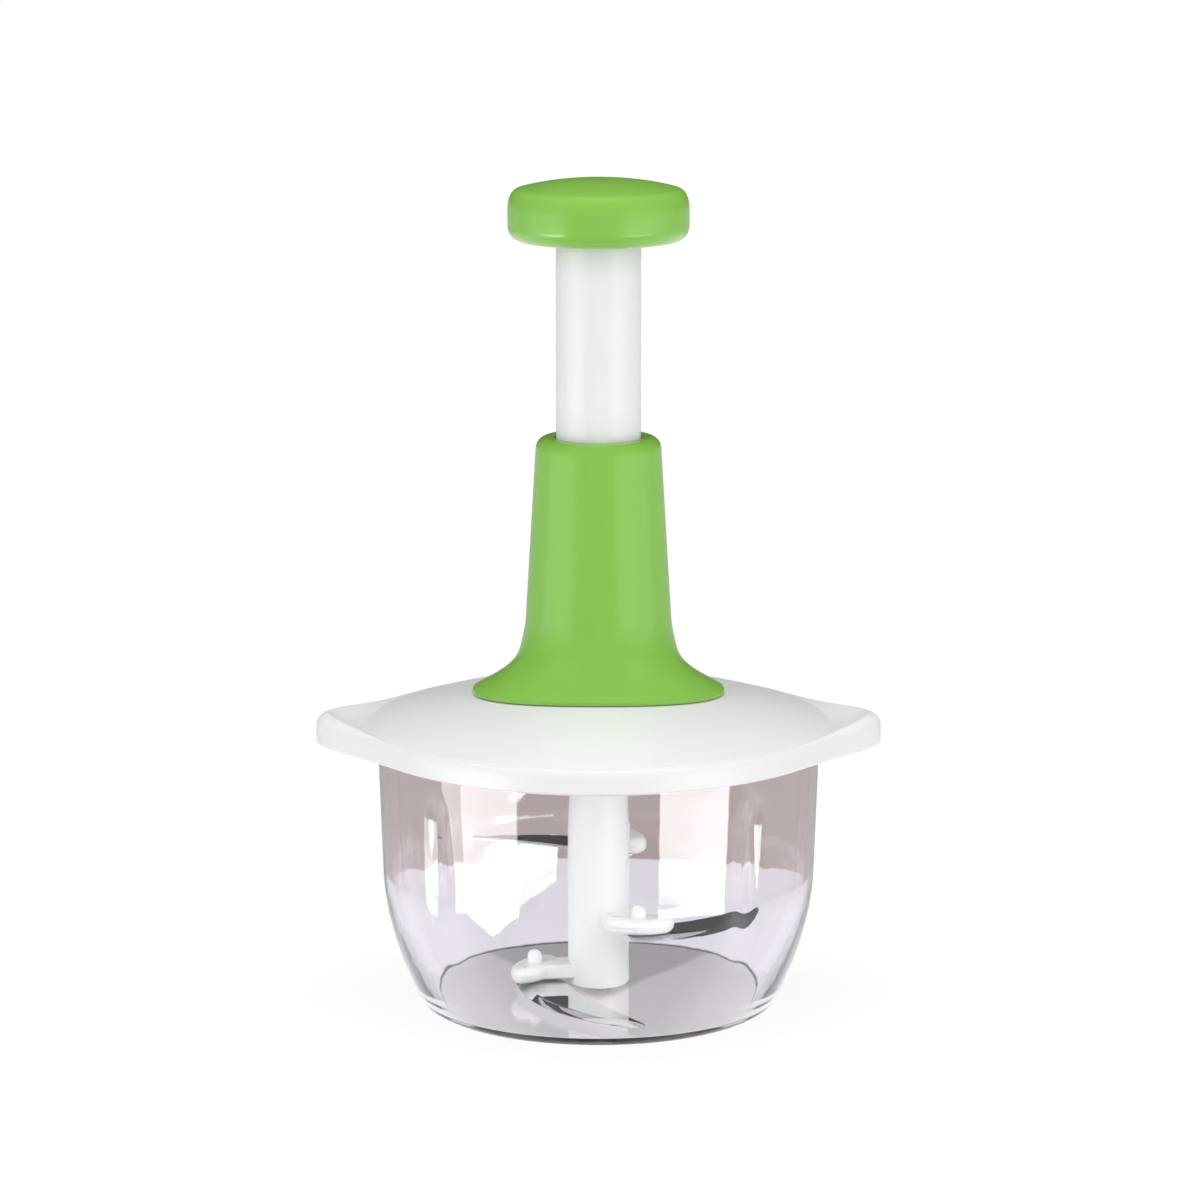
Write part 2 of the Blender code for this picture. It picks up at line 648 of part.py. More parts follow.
def make_arm(column, name):
    """An arm of the column: a long round-ended pad at its pin, on a web from the column."""
    low = BLADE_LEVELS[name] + BLADE_THICKNESS + GAP
    high = low + ARM_THICKNESS
    angle = pin_angle(name)
    x, y = polar(PIN_CIRCLE_RADIUS, angle)
    turn = angle + ARM_TURN_ANGLE
    outline = []
    for a in spread(ARM_STEPS):
        along = ARM_HALF_LENGTH * math.cos(math.radians(a))
        across = ARM_HALF_WIDTH * math.sin(math.radians(a))
        c, s = polar(1.0, turn)
        outline.append((x + along * c - across * s, y + along * s + across * c))
    pad = prism("arm_pad_" + name, outline, low, high, None)
    rounded = pad.modifiers.new("Round", "BEVEL")
    rounded.width = ARM_ROUND
    rounded.segments = 2
    rounded.limit_method = "ANGLE"
    web = box("arm_web_" + name, (PIN_CIRCLE_RADIUS, ARM_WEB_WIDTH, ARM_THICKNESS - 2 * GAP),
              (PIN_CIRCLE_RADIUS / 2, 0, (low + high) / 2), None, math.radians(angle))
    join(column, pad)
    join(column, web)
    hole = cylinder("arm_hole_" + name, PIN_RADIUS + GAP, low - OVERRUN, high + OVERRUN, None,
                    SMALL_STEPS, (x, y))
    return hole


def make_column():
    bush_low = BOSS_Z + GAP
    bore_top = PIVOT_TOP_Z + GAP + GAP
    neck = COLUMN_SHOULDER_Z - COLUMN_NECK_LENGTH
    profile = [(0, COLUMN_SHOULDER_Z), (COLUMN_NECK_RADIUS - COLUMN_EDGE, COLUMN_SHOULDER_Z),
               (COLUMN_NECK_RADIUS, COLUMN_SHOULDER_Z - COLUMN_EDGE),
               (COLUMN_RADIUS, neck), (COLUMN_RADIUS, COLUMN_Z + COLUMN_EDGE),
               (COLUMN_RADIUS - COLUMN_EDGE, COLUMN_Z), (0, COLUMN_Z)]
    column = turned("blade_column", profile, "white_plastic", MEDIUM_STEPS)
    hexagon = HEX_ACROSS_FLATS / 2 / math.cos(math.pi / HEX_SIDES)
    outline = [polar(hexagon, a) for a in spread(HEX_SIDES)]
    head = prism("hex_head", outline, neck, HEX_TOP_Z, None)
    chamfer = head.modifiers.new("Chamfer", "BEVEL")
    chamfer.width = COLUMN_EDGE
    chamfer.segments = 1
    join(column, head)
    holes = [make_arm(column, name) for name in BLADE_LEVELS]
    for hole in holes:
        cut(column, hole)
    bore = cylinder("column_bore", COLUMN_BUSH_RADIUS + GAP, bush_low, bore_top, None, SMALL_STEPS)
    foot = cylinder("column_foot", BOSS_RADIUS + GAP + GAP, COLUMN_Z - OVERRUN, bush_low + GAP,
                    None, SMALL_STEPS)
    cut(column, bore)
    cut(column, foot)
    ring("column_bush", PIVOT_RADIUS + GAP, COLUMN_BUSH_RADIUS, bush_low, bore_top - GAP,
         "nylon", SMALL_STEPS)


def make_rotor():
    make_column()
    for name in BLADE_LEVELS:
        make_blade(name)
        make_blade_pin(name)


# Lid


def ear_share(degrees):
    """How much of an ear there is at an angle: one at each end of the X axis, nothing between."""
    away = abs((degrees + 90) % 180 - 90)
    return math.exp(-((away / EAR_ANGLE) ** EAR_POWER))


def lid_radius(degrees):
    return LID_RADIUS + EAR_REACH * ear_share(degrees)


def lid_angles():
    quarter = [90 * share for share in LID_ANGLE_SHARES]
    found = []
    for start in (0, 180):
        found += [start + a for a in quarter] + [start + 90]
        found += [start + 180 - a for a in reversed(quarter[1:])]
    return found


def dome_z(radius):
    """The dome: a shallow cone with a slight bulge between its foot and the tower."""
    run = DOME_RADIUS - TOWER_BASE_Y
    share = (DOME_RADIUS - radius) / run
    bulge = DOME_BULGE * math.sin(math.pi * min(max(share, 0.0), 1.0))
    return RIM_Z + DOME_FOOT_RISE + DOME_SLOPE * (DOME_RADIUS - radius) + bulge


def lid_section(radius_at, z_at):
    return [(*polar(radius_at(a), a), z_at(a)) for a in lid_angles()]


def deck_radius():
    """The round deck under the tower, wide enough for the bosses of the tower's screws."""
    return tower_screw_offset() + SCREW_BOSS_RADIUS + DECK_MARGIN


def make_lid_blank():
    """The lid's outside as one block: dome, gutter that widens into the ears, rim and skirt."""
    sections = []
    for share in reversed(DOME_SHARES):
        radius = DOME_RADIUS + (deck_radius() - DOME_RADIUS) * share
        sections.append(lid_section(lambda a, r=radius: r, lambda a, r=radius: dome_z(r)))

    def rim_top(a):
        return RIM_Z + EAR_RISE * ear_share(a)

    def crest(a):
        return lid_radius(a) - LID_RIM_ROUND + LID_RIM_ROUND * (1 - ear_share(a)) / 2

    for share in GUTTER_SHARES:
        dip = EAR_GUTTER * math.sin(math.pi * share)
        sections.append(lid_section(
            lambda a, s=share: DOME_RADIUS + (crest(a) - DOME_RADIUS) * s,
            lambda a, s=share, d=dip: rim_top(a) * s + (RIM_Z + DOME_FOOT_RISE) * (1 - s)
            - d * ear_share(a)))
    sections.append(lid_section(crest, rim_top))
    shoulder = LID_RIM_ROUND / 4
    sections.append(lid_section(lambda a: lid_radius(a) - shoulder, lambda a: rim_top(a) - shoulder))
    sections.append(lid_section(lid_radius, lambda a: rim_top(a) - LID_RIM_ROUND))
    sections.append(lid_section(lid_radius, lambda a: SKIRT_Z + LID_EDGE_ROUND))
    sections.append(lid_section(lambda a: lid_radius(a) - LID_EDGE_ROUND, lambda a: SKIRT_Z))
    return loft("lid_shell", sections, "white_plastic")


def lid_cavity():
    """The hollow under the lid: the bowl's rim goes in its outer step, up to the landing."""
    dome = []
    deck = deck_radius() + LID_WALL
    landing = spigot_radius() + LANDING_CLEARANCE
    for share in DOME_SHARES[1:]:
        radius = landing + (deck - landing) * share
        dome.append((radius, dome_z(radius) - LID_WALL))
    profile = [(0, DECK_UNDER_Z), (deck, DECK_UNDER_Z)]
    profile += list(reversed(dome))
    profile += [(landing, dome_z(landing) - LID_WALL), (landing, SEAT_Z),
                (SKIRT_RADIUS, SEAT_Z), (SKIRT_RADIUS, SKIRT_Z - OVERRUN),
                (0, SKIRT_Z - OVERRUN)]
    return turned("lid_cavity", profile, None, LARGE_STEPS)


def ear_pocket(start):
    """The hollow under one ear, between the round skirt and the ear's own wall."""
    reach = EAR_ANGLE * EAR_POCKET_SPREAD_SHARE
    outer = [a for a in lid_angles() if abs((a - start + 180) % 360 - 180) < reach]
    outer.sort(key=lambda a: (a - start + 180) % 360)
    outline = [polar(lid_radius(a) - LID_WALL, a) for a in outer]
    outline += [polar(LID_RADIUS, a) for a in reversed(outer)]
    roof = RIM_Z - EAR_POCKET_ROOF
    return prism("ear_pocket_%d" % start, outline, SKIRT_Z - OVERRUN, roof, None)


def dome_boss(name, at, low):
    """A round boss under the dome, whose slanted top lies in the middle of the dome's wall."""
    foot, top = [], []
    for x, y in (polar(SCREW_BOSS_RADIUS, a) for a in spread(SCREW_STEPS)):
        x, y = at[0] + x, at[1] + y
        foot.append((x, y, low))
        top.append((x, y, dome_z(math.hypot(x, y)) - LID_WALL / 2))
    return loft(name, [foot, top], None)


def make_lid():
    lid = make_lid_blank()
    for start in (0, 180):
        cut(lid, ear_pocket(start))
    cut(lid, lid_cavity())
    cut(lid, cylinder("deck_recess", deck_radius(), DECK_Z, TOWER_TOP_Z, None, TOWER_STEPS))
    cut(lid, cylinder("deck_hole", BUSH_RADIUS + GAP, DECK_UNDER_Z - OVERRUN, DECK_Z + OVERRUN,
                      None, SMALL_STEPS))
    boss_low = COVER_Z + COVER_PLATE + GAP
    offset = cover_boss_offset()
    for i, angle in enumerate(spread(COVER_SCREW_COUNT, 90)):
        at = polar(offset, angle)
        join(lid, dome_boss("cover_boss_%d" % i, at, boss_low))
        cut(lid, cylinder("cover_boss_hole_%d" % i, SCREW_RADIUS + GAP, boss_low - OVERRUN,
                          boss_low + COVER_SCREW_BITE, None, SCREW_STEPS, at))
    for i, angle in enumerate(spread(TOWER_SCREW_COUNT, 45)):
        cut(lid, cylinder("deck_screw_hole_%d" % i, SCREW_RADIUS + GAP, DECK_UNDER_Z - OVERRUN,
                          DECK_Z + OVERRUN, None, SCREW_STEPS, polar(tower_screw_offset(), angle)))


def spigot_radius():
    """The cover's round wall, clear of the bowl's wall at its narrowest beside the cover."""
    return min(bowl_inside(SPIGOT_Z), bowl_inside(BOWL_HEIGHT)) - SPIGOT_CLEARANCE


def cover_boss_offset():
    """The cover's screws stand between the deck and the cover's round wall."""
    inner = deck_radius()
    return inner + (spigot_radius() - COVER_WALL - inner) * COVER_BOSS_SHARE


def make_cover():
    """The plate that closes the lid from below, with the seal's groove and the coupling's hub."""
    plate_top = COVER_Z + COVER_PLATE
    wall_top = SEAT_Z + COVER_WALL_TOP
    outer = spigot_radius()
    inner = outer - COVER_WALL
    groove = outer - SEAL_GROOVE_DEPTH
    groove_low = SPIGOT_Z + SEAL_GROOVE_RISE
    groove_high = groove_low + SEAL_HEIGHT + 2 * GAP
    profile = [(HUB_RADIUS, plate_top), (inner, plate_top), (inner, wall_top),
               (outer, wall_top), (outer, groove_high), (groove, groove_high),
               (groove, groove_low), (outer, groove_low), (outer, SPIGOT_Z),
               (inner, SPIGOT_Z), (inner, COVER_Z), (HUB_RADIUS, COVER_Z),
               (HUB_RADIUS, HUB_Z), (HUB_BORE, HUB_Z), (HUB_BORE, plate_top)]
    cover = turned("mechanism_cover", profile, "white_plastic", LARGE_STEPS, closed=True)
    for i, angle in enumerate(spread(COVER_SCREW_COUNT, 90)):
        cut(cover, cylinder("cover_hole_%d" % i, SCREW_RADIUS + GAP, COVER_Z - OVERRUN,
                            plate_top + OVERRUN, None, SCREW_STEPS,
                            polar(cover_boss_offset(), angle)))
    seal_in = groove + GAP
    low = groove_low + GAP
    high = low + SEAL_HEIGHT
    seal_out = min(bowl_inside(low), bowl_inside(high)) - 2 * GAP
    bulge = SEAL_HEIGHT / 4
    profile = [(seal_in, high), (outer, high), (seal_out, high - bulge),
               (seal_out, low + bulge), (outer, low), (seal_in, low)]
    turned("seal_ring", profile, "silicone", LARGE_STEPS, closed=True)


def make_screw(name, at, head_top, bite):
    """A pan-head screw: its head's flat seat is at head_top, and its shank points up."""
    profile = [(0, head_top + bite), (SCREW_RADIUS / 2, head_top + bite),
               (SCREW_RADIUS, head_top + bite - SCREW_RADIUS), (SCREW_RADIUS, head_top),
               (SCREW_HEAD_RADIUS, head_top), (SCREW_HEAD_RADIUS, head_top - SCREW_HEAD / 2),
               (SCREW_HEAD_RADIUS - SCREW_HEAD / 2, head_top - SCREW_HEAD),
               (0, head_top - SCREW_HEAD)]
    screw = turned(name, profile, "spring_steel", SCREW_STEPS)
    screw.location = (*at, 0)
    return screw


def make_screws():
    for i, angle in enumerate(spread(COVER_SCREW_COUNT, 90)):
        make_screw("cover_screw_%d" % (i + 1), polar(cover_boss_offset(), angle), COVER_Z - GAP,
                   COVER_PLATE + COVER_SCREW_BITE)
    for i, angle in enumerate(spread(TOWER_SCREW_COUNT, 45)):
        make_screw("tower_screw_%d" % (i + 1), polar(tower_screw_offset(), angle),
                   DECK_UNDER_Z - GAP, DECK_THICKNESS + TOWER_SCREW_BITE)
    make_screw("knob_screw", (0, 0), KNOB_SCREW_SEAT_Z, PLUNGER_WEB + KNOB_SCREW_BITE)


# Tower


def neck_z():
    return DECK_Z + TOWER_NECK_RISE


def shaft_radius(z):
    """The tower's tapered shaft, which swells a little where it meets the flare."""
    swell = max(1 - (z - neck_z()) / TOWER_NECK_BLEND, 0.0)
    return TOWER_TOP_RADIUS + TOWER_TAPER * (TOWER_TOP_Z - z) + TOWER_NECK_SWELL * swell ** 2


def tower_screw_offset():
    """The screws' bosses run into the wall of the tower's neck from inside."""
    return shaft_radius(neck_z()) - TOWER_WALL - TOWER_SCREW_INSET


def ellipse_section(half_x, half_y, z_at):
    found = []
    for a in spread(TOWER_STEPS):
        c, s = polar(1.0, a)
        x, y = half_x * c, half_y * s
        found.append((x, y, z_at(x, y)))
    return found


def tower_sections(inset, lift, top):
    """Sections from the oval base, which follows the dome, up through the flare and the shaft."""
    neck = shaft_radius(neck_z())
    sections = []
    for share in FLARE_SHARES:
        spreading = (1 - share) ** FLARE_POWER
        half_x = neck + (TOWER_BASE_X - TOWER_BASE_ROUND - neck) * spreading - inset
        half_y = neck + (TOWER_BASE_Y - TOWER_BASE_ROUND - neck) * spreading - inset

        def height(x, y, s=share):
            base = dome_z(math.hypot(x, y)) + GAP + lift
            return base * (1 - s) + neck_z() * s

        sections.append(ellipse_section(half_x, half_y, height))
    for share in TOWER_SHAFT_SHARES:
        z = neck_z() + (top - neck_z()) * share
        radius = shaft_radius(z) - inset
        sections.append(ellipse_section(radius, radius, lambda x, y, z=z: z))
    return sections


def base_section(inset, lift):
    """An oval round the tower's foot, lifted from the dome that the tower rests on."""
    return [ellipse_section(TOWER_BASE_X - inset, TOWER_BASE_Y - inset,
                            lambda x, y: dome_z(math.hypot(x, y)) + GAP + lift)]


def tower_top_sections():
    start = TOWER_TOP_Z - TOWER_TOP_ROUND
    middle = shaft_radius(start) - TOWER_TOP_ROUND
    found = []
    for radius, z in corner(middle, start, TOWER_TOP_ROUND, 0, 90)[1:]:
        found.append(ellipse_section(radius, radius, lambda x, y, z=z: z))
    return found


def dome_cutter():
    """A copy of the lid's dome, which trims the tower's underside to lie on the lid."""
    reach = TOWER_BASE_X + OVERRUN
    floor = dome_z(reach) - 3 * OVERRUN
    deck = deck_radius()
    radii = [deck + (reach - deck) * share for share in DOME_SHARES]
    profile = [(0, dome_z(deck) + GAP)]
    profile += [(radius, dome_z(radius) + GAP) for radius in radii]
    profile += [(reach, floor), (0, floor)]
    return turned("dome_cutter", profile, None, TOWER_STEPS)


def make_rail(angle):
    """A rail inside the tower, which keeps the plunger from turning: it follows the wall's taper."""
    top = PLUNGER_Z + FLANGE_THICKNESS
    inner = PLUNGER_RADIUS + RAIL_CLEARANCE
    half = RAIL_WIDTH / 2
    c, s = polar(1.0, angle)
    sections = []
    for z in (DECK_Z + PLUNGER_FOOT_CLEARANCE, neck_z(), top):
        outer = shaft_radius(max(z, neck_z())) - TOWER_WALL / 2
        corners = ((inner, -half), (outer, -half), (outer, half), (inner, half))
        sections.append([(x * c - y * s, x * s + y * c, z) for x, y in corners])
    return loft("rail_%d" % angle, sections, None)


def make_tower():
    outside = base_section(0.0, -OVERRUN) + base_section(0.0, TOWER_BASE_BAND - TOWER_BASE_ROUND)
    outside += tower_sections(0.0, TOWER_BASE_BAND, TOWER_TOP_Z - TOWER_TOP_ROUND)
    tower = loft("tower_housing", outside + tower_top_sections(), "green_plastic")
    roof = TOWER_TOP_Z - TOWER_LIP
    cut(tower, dome_cutter())
    hollow = base_section(TOWER_WALL, -2 * OVERRUN) + tower_sections(TOWER_WALL, 0.0, roof)
    cut(tower, loft("tower_hollow", hollow, None))
    cut(tower, cylinder("tower_mouth", MOUTH_RADIUS, roof - OVERRUN, TOWER_TOP_Z + OVERRUN, None,
                        MEDIUM_STEPS))
    foot = DECK_Z + GAP
    for angle in spread(RAIL_COUNT):
        join(tower, make_rail(angle))
    for i, angle in enumerate(spread(TOWER_SCREW_COUNT, 45)):
        at = polar(tower_screw_offset(), angle)
        join(tower, cylinder("tower_boss_%d" % i, SCREW_BOSS_RADIUS, foot,
                             foot + TOWER_NECK_RISE * TOWER_BOSS_HEIGHT_SHARE, None, SCREW_STEPS, at))
        cut(tower, cylinder("tower_boss_hole_%d" % i, SCREW_RADIUS + GAP, foot - OVERRUN,
                            foot + TOWER_SCREW_BITE + GAP, None, SCREW_STEPS, at))
    low = PLUNGER_Z + FLANGE_THICKNESS + GAP
    high = roof - GAP
    wall = TOWER_WALL + 2 * GAP
    ring_profile = [(shaft_radius(high) - wall, high), (shaft_radius(low) - wall, low),
                    (MOUTH_RADIUS, low), (MOUTH_RADIUS, high)]
    turned("guide_collar", ring_profile, "nylon", MEDIUM_STEPS, closed=True)


# Plunger and knob


def make_plunger():
    shoulder = NUT_TOP_Z + GAP
    web = PLUNGER_TOP_Z - PLUNGER_WEB
    profile = [(SCREW_RADIUS + GAP, PLUNGER_TOP_Z), (PLUNGER_RADIUS, PLUNGER_TOP_Z),
               (PLUNGER_RADIUS, PLUNGER_Z + FLANGE_THICKNESS),
               (FLANGE_RADIUS, PLUNGER_Z + FLANGE_THICKNESS), (FLANGE_RADIUS, PLUNGER_Z),
               (BORE_RADIUS, PLUNGER_Z), (BORE_RADIUS, shoulder),
               (BORE_RADIUS - PLUNGER_SHOULDER, shoulder),
               (BORE_RADIUS - PLUNGER_SHOULDER, web), (SCREW_RADIUS + GAP, web)]
    tube = turned("plunger_tube", profile, "white_plastic", MEDIUM_STEPS, closed=True)
    notch_in = PLUNGER_RADIUS + GAP / 3
    notch_out = FLANGE_RADIUS + OVERRUN
    for angle in spread(RAIL_COUNT):
        middle = ((notch_in + notch_out) / 2, 0, PLUNGER_Z + FLANGE_THICKNESS / 2)
        size = (notch_out - notch_in, RAIL_WIDTH + 2 * GAP, FLANGE_THICKNESS + OVERRUN)
        cut(tube, box("rail_notch_%d" % angle, size, middle, None, math.radians(angle)))
    key = NUT_KEY_WIDTH + 2 * GAP
    reach = 2 * (NUT_RADIUS + NUT_KEY_HEIGHT + GAP)
    low = PLUNGER_Z - OVERRUN
    cut(tube, box("keyway", (key, reach, shoulder - low), (0, 0, (shoulder + low) / 2), None))


def knob_profile():
    """The knob's outside and its hollow underside, from the middle of the top round to the socket."""
    top = KNOB_Z + KNOB_HEIGHT
    flat = KNOB_RADIUS - KNOB_TOP_ROUND
    outside = [(0, top + KNOB_DOME), (flat / 2, top + KNOB_DOME * 3 / 4)]
    outside += corner(flat, top - KNOB_TOP_ROUND, KNOB_TOP_ROUND, 90, 0)
    outside += corner(KNOB_RADIUS - KNOB_FOOT_ROUND, KNOB_Z + KNOB_FOOT_ROUND, KNOB_FOOT_ROUND,
                      0, -90)
    inside = KNOB_RADIUS - KNOB_WALL
    ceiling = top - KNOB_WALL
    floor = KNOB_Z + KNOB_BASE_THICKNESS + GAP
    wall = MOUTH_RADIUS + KNOB_SOCKET_WALL
    return outside + [
        (KNOB_FLOOR_RADIUS, KNOB_Z), (KNOB_FLOOR_RADIUS, floor),
        (inside, floor + KNOB_FOOT_ROUND / 2), (inside, ceiling - KNOB_WALL),
        (inside - KNOB_WALL, ceiling), (wall, ceiling), (wall, floor), (MOUTH_RADIUS, floor),
        (MOUTH_RADIUS, SOCKET_Z), (SCREW_RADIUS + GAP, SOCKET_Z),
        (SCREW_RADIUS + GAP, SOCKET_Z + KNOB_SCREW_BITE + GAP),
        (0, SOCKET_Z + KNOB_SCREW_BITE + GAP)]


def make_knob():
    turned("press_knob", knob_profile(), "green_plastic", TOWER_STEPS)
    ring("knob_base", MOUTH_RADIUS, KNOB_FLOOR_RADIUS - GAP, KNOB_Z,
         KNOB_Z + KNOB_BASE_THICKNESS, "green_plastic", TOWER_STEPS)


# Drive


def twisted_section(width, thickness, z):
    """A flat bar's corners at a height, turned left-handed by its lead."""
    turn = -360 * (z - COLLAR_Z) / TWIST_LEAD
    c, s = polar(1.0, turn)
    corners = ((width, thickness), (0, thickness), (-width, thickness), (-width, -thickness),
               (0, -thickness), (width, -thickness))
    return [((x * c - y * s) / 2, (x * s + y * c) / 2, z) for x, y in corners]


def twisted_bar(name, width, thickness, low, high, step_angle, finish):
    step = TWIST_LEAD * step_angle / 360
    count = math.ceil((high - low) / step)
    levels = [low + (high - low) * i / count for i in range(count + 1)]
    sections = [twisted_section(width, thickness, z) for z in levels]
    return loft(name, sections, finish)


def make_rod():
    collar_top = COLLAR_Z + ROD_COLLAR
    rod = twisted_bar("drive_rod", ROD_WIDTH, ROD_THICKNESS, COLLAR_Z + ROD_COLLAR / 2, ROD_TOP_Z,
                      TWIST_STEP_ANGLE, "spring_steel")
    neck_high = CLIP_Z + CLIP_THICKNESS + GAP
    neck_low = CLIP_Z - GAP
    neck = ROD_SHANK_RADIUS - CLIP_GROOVE
    profile = [(0, collar_top), (ROD_COLLAR_RADIUS, collar_top), (ROD_COLLAR_RADIUS, COLLAR_Z),
               (ROD_SHANK_RADIUS, COLLAR_Z), (ROD_SHANK_RADIUS, neck_high), (neck, neck_high),
               (neck, neck_low), (0, neck_low)]
    join(rod, turned("rod_shank", profile, None, SMALL_STEPS))
    square_top = neck_low + GAP / 2
    join(rod, box("rod_square", (ROD_SQUARE, ROD_SQUARE, square_top - ROD_FOOT_Z),
                  (0, 0, (square_top + ROD_FOOT_Z) / 2), None))
    clip = ring("rod_clip", neck + GAP, CLIP_RADIUS, CLIP_Z, CLIP_Z + CLIP_THICKNESS,
                "spring_steel", SMALL_STEPS)
    cut(clip, box("clip_mouth", (CLIP_RADIUS + OVERRUN, CLIP_MOUTH_WIDTH,
                                 CLIP_THICKNESS + OVERRUN),
                  ((CLIP_RADIUS + OVERRUN) / 2, 0, CLIP_Z + CLIP_THICKNESS / 2), None))


def make_nut():
    nut = cylinder("twist_nut", NUT_RADIUS, NUT_Z, NUT_TOP_Z, "nylon", MEDIUM_STEPS)
    keys = 2 * (NUT_RADIUS + NUT_KEY_HEIGHT)
    join(nut, box("nut_keys", (NUT_KEY_WIDTH, keys, NUT_HEIGHT - 2 * GAP),
                  (0, 0, (NUT_Z + NUT_TOP_Z) / 2), None))
    slot = twisted_bar("nut_slot", ROD_WIDTH + 2 * NUT_SLOT_CLEARANCE,
                       ROD_THICKNESS + 2 * NUT_SLOT_CLEARANCE, NUT_Z - OVERRUN,
                       NUT_TOP_Z + OVERRUN, SLOT_STEP_ANGLE, None)
    cut(nut, slot)


def make_bushes():
    sleeve = [(BORE_RADIUS, BUSH_TOP_Z), (BORE_RADIUS, DECK_Z + GAP),
              (BUSH_RADIUS, DECK_Z + GAP), (BUSH_RADIUS, BUSH_FOOT_Z), (BUSH_BORE, BUSH_FOOT_Z),
              (BUSH_BORE, BUSH_TOP_Z)]
    turned("rod_bush", sleeve, "nylon", SMALL_STEPS, closed=True)
    ring("thrust_washer", BUSH_BORE, ROD_COLLAR_RADIUS, THRUST_Z, THRUST_Z + WASHER_THICKNESS,
         "spring_steel", SMALL_STEPS)
    ring("spring_washer", ROD_WIDTH / 2 + 2 * GAP, NUT_RADIUS - GAP, SPRING_WASHER_Z,
         SPRING_WASHER_Z + WASHER_THICKNESS, "spring_steel", SMALL_STEPS)
    flange_top = COUPLING_BUSH_Z + COUPLING_BUSH_FLANGE
    flange = HUB_RADIUS
    sleeve = [(flange, flange_top), (flange, COUPLING_BUSH_Z),
              (COUPLING_BUSH_RADIUS, COUPLING_BUSH_Z), (COUPLING_BUSH_RADIUS, HUB_Z),
              (COUPLING_BUSH_BORE, HUB_Z), (COUPLING_BUSH_BORE, flange_top)]
    turned("coupling_bush", sleeve, "nylon", MEDIUM_STEPS, closed=True)


# One-way clutch


def toothed_blank(name, radius, flat_z, valley_z, turn, finish):
    """A disc with saw teeth on one face: each tooth is a ramp that ends in a steep flank."""
    face, back = [], []
    for tooth in range(DOG_TEETH):
        for share in DOG_TOOTH_SHARES:
            x, y = polar(radius, turn + 360 * (tooth + share) / DOG_TEETH)
            rise = DOG_TOOTH_HEIGHT * share / DOG_TOOTH_SHARES[-1]
            face.append((x, y, valley_z + rise))
            back.append((x, y, flat_z))
    built = bmesh.new()
    front = [built.verts.new(point) for point in face]
    rear = [built.verts.new(point) for point in back]
    tip = built.verts.new((0, 0, valley_z + DOG_TOOTH_HEIGHT / 2))
    count = len(front)
    for i in range(count):
        j = (i + 1) % count
        built.faces.new((front[i], front[j], tip))
        built.faces.new((front[i], rear[i], rear[j], front[j]))
    built.faces.new(rear)
    bmesh.ops.recalc_face_normals(built, faces=built.faces)
    return object_from(name, built, finish)


def make_clutch():
    dog_face = TEETH_Z + DOG_TOOTH_GAP
    dog = toothed_blank("drive_dog", DOG_RADIUS, DOG_TOP_Z, dog_face, DOG_TOOTH_TURN_ANGLE,
                        "nylon")
    cut(dog, cylinder("dog_cup", DOG_CUP_RADIUS, DOG_TOP_Z - DOG_CUP_DEPTH, DOG_TOP_Z + OVERRUN,
                      None, SMALL_STEPS))
    bore = ROD_SQUARE + 2 * GAP
    cut(dog, box("dog_bore", (bore, bore, DOG_TOP_Z - dog_face + 2 * OVERRUN),
                 (0, 0, (DOG_TOP_Z + dog_face) / 2), None))
    cup_floor = DOG_TOP_Z - DOG_CUP_DEPTH
    coil("dog_spring", DOG_SPRING_RADIUS, DOG_SPRING_WIRE_RADIUS, cup_floor + GAP,
         CLIP_Z - GAP - cup_floor - GAP, DOG_SPRING_TURNS, "spring_steel")
    coupling = toothed_blank("output_coupling", COUPLING_FLANGE_RADIUS, COUPLING_SEAT_Z, TEETH_Z,
                             0.0, "white_plastic")
    join(coupling, cylinder("coupling_stem", COUPLING_RADIUS, COUPLING_FOOT_Z,
                            COUPLING_SEAT_Z + COUPLING_FLANGE / 2, None, MEDIUM_STEPS))
    well = ROD_SQUARE
    cut(coupling, cylinder("coupling_well", well, TEETH_Z - COUPLING_FLANGE / 2,
                           TEETH_Z + DOG_TOOTH_HEIGHT + OVERRUN, None, SMALL_STEPS))
    hexagon = (HEX_ACROSS_FLATS / 2 + HEX_CLEARANCE) / math.cos(math.pi / HEX_SIDES)
    outline = [polar(hexagon, a) for a in spread(HEX_SIDES)]
    cut(coupling, prism("hex_socket", outline, COUPLING_FOOT_Z - OVERRUN, HEX_TOP_Z + GAP, None))


def make_return_spring():
    coil("return_spring", SPRING_RADIUS, SPRING_WIRE_RADIUS, SPRING_Z, SPRING_LENGTH,
         SPRING_TURNS, "spring_steel")


make_bowl()
make_rotor()
make_lid()
make_cover()
make_screws()
make_tower()
make_plunger()
make_knob()
make_rod()
make_nut()
make_bushes()
make_clutch()
make_return_spring()
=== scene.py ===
"""The looks of a hand-press food chopper: fine moulded surfaces, a fluted clear bowl, ground blades
and wound springs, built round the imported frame, in a plain pale studio. Shapes are worked out in
millimetres, +Z up, with the front of the object towards -Y."""

import json
import math

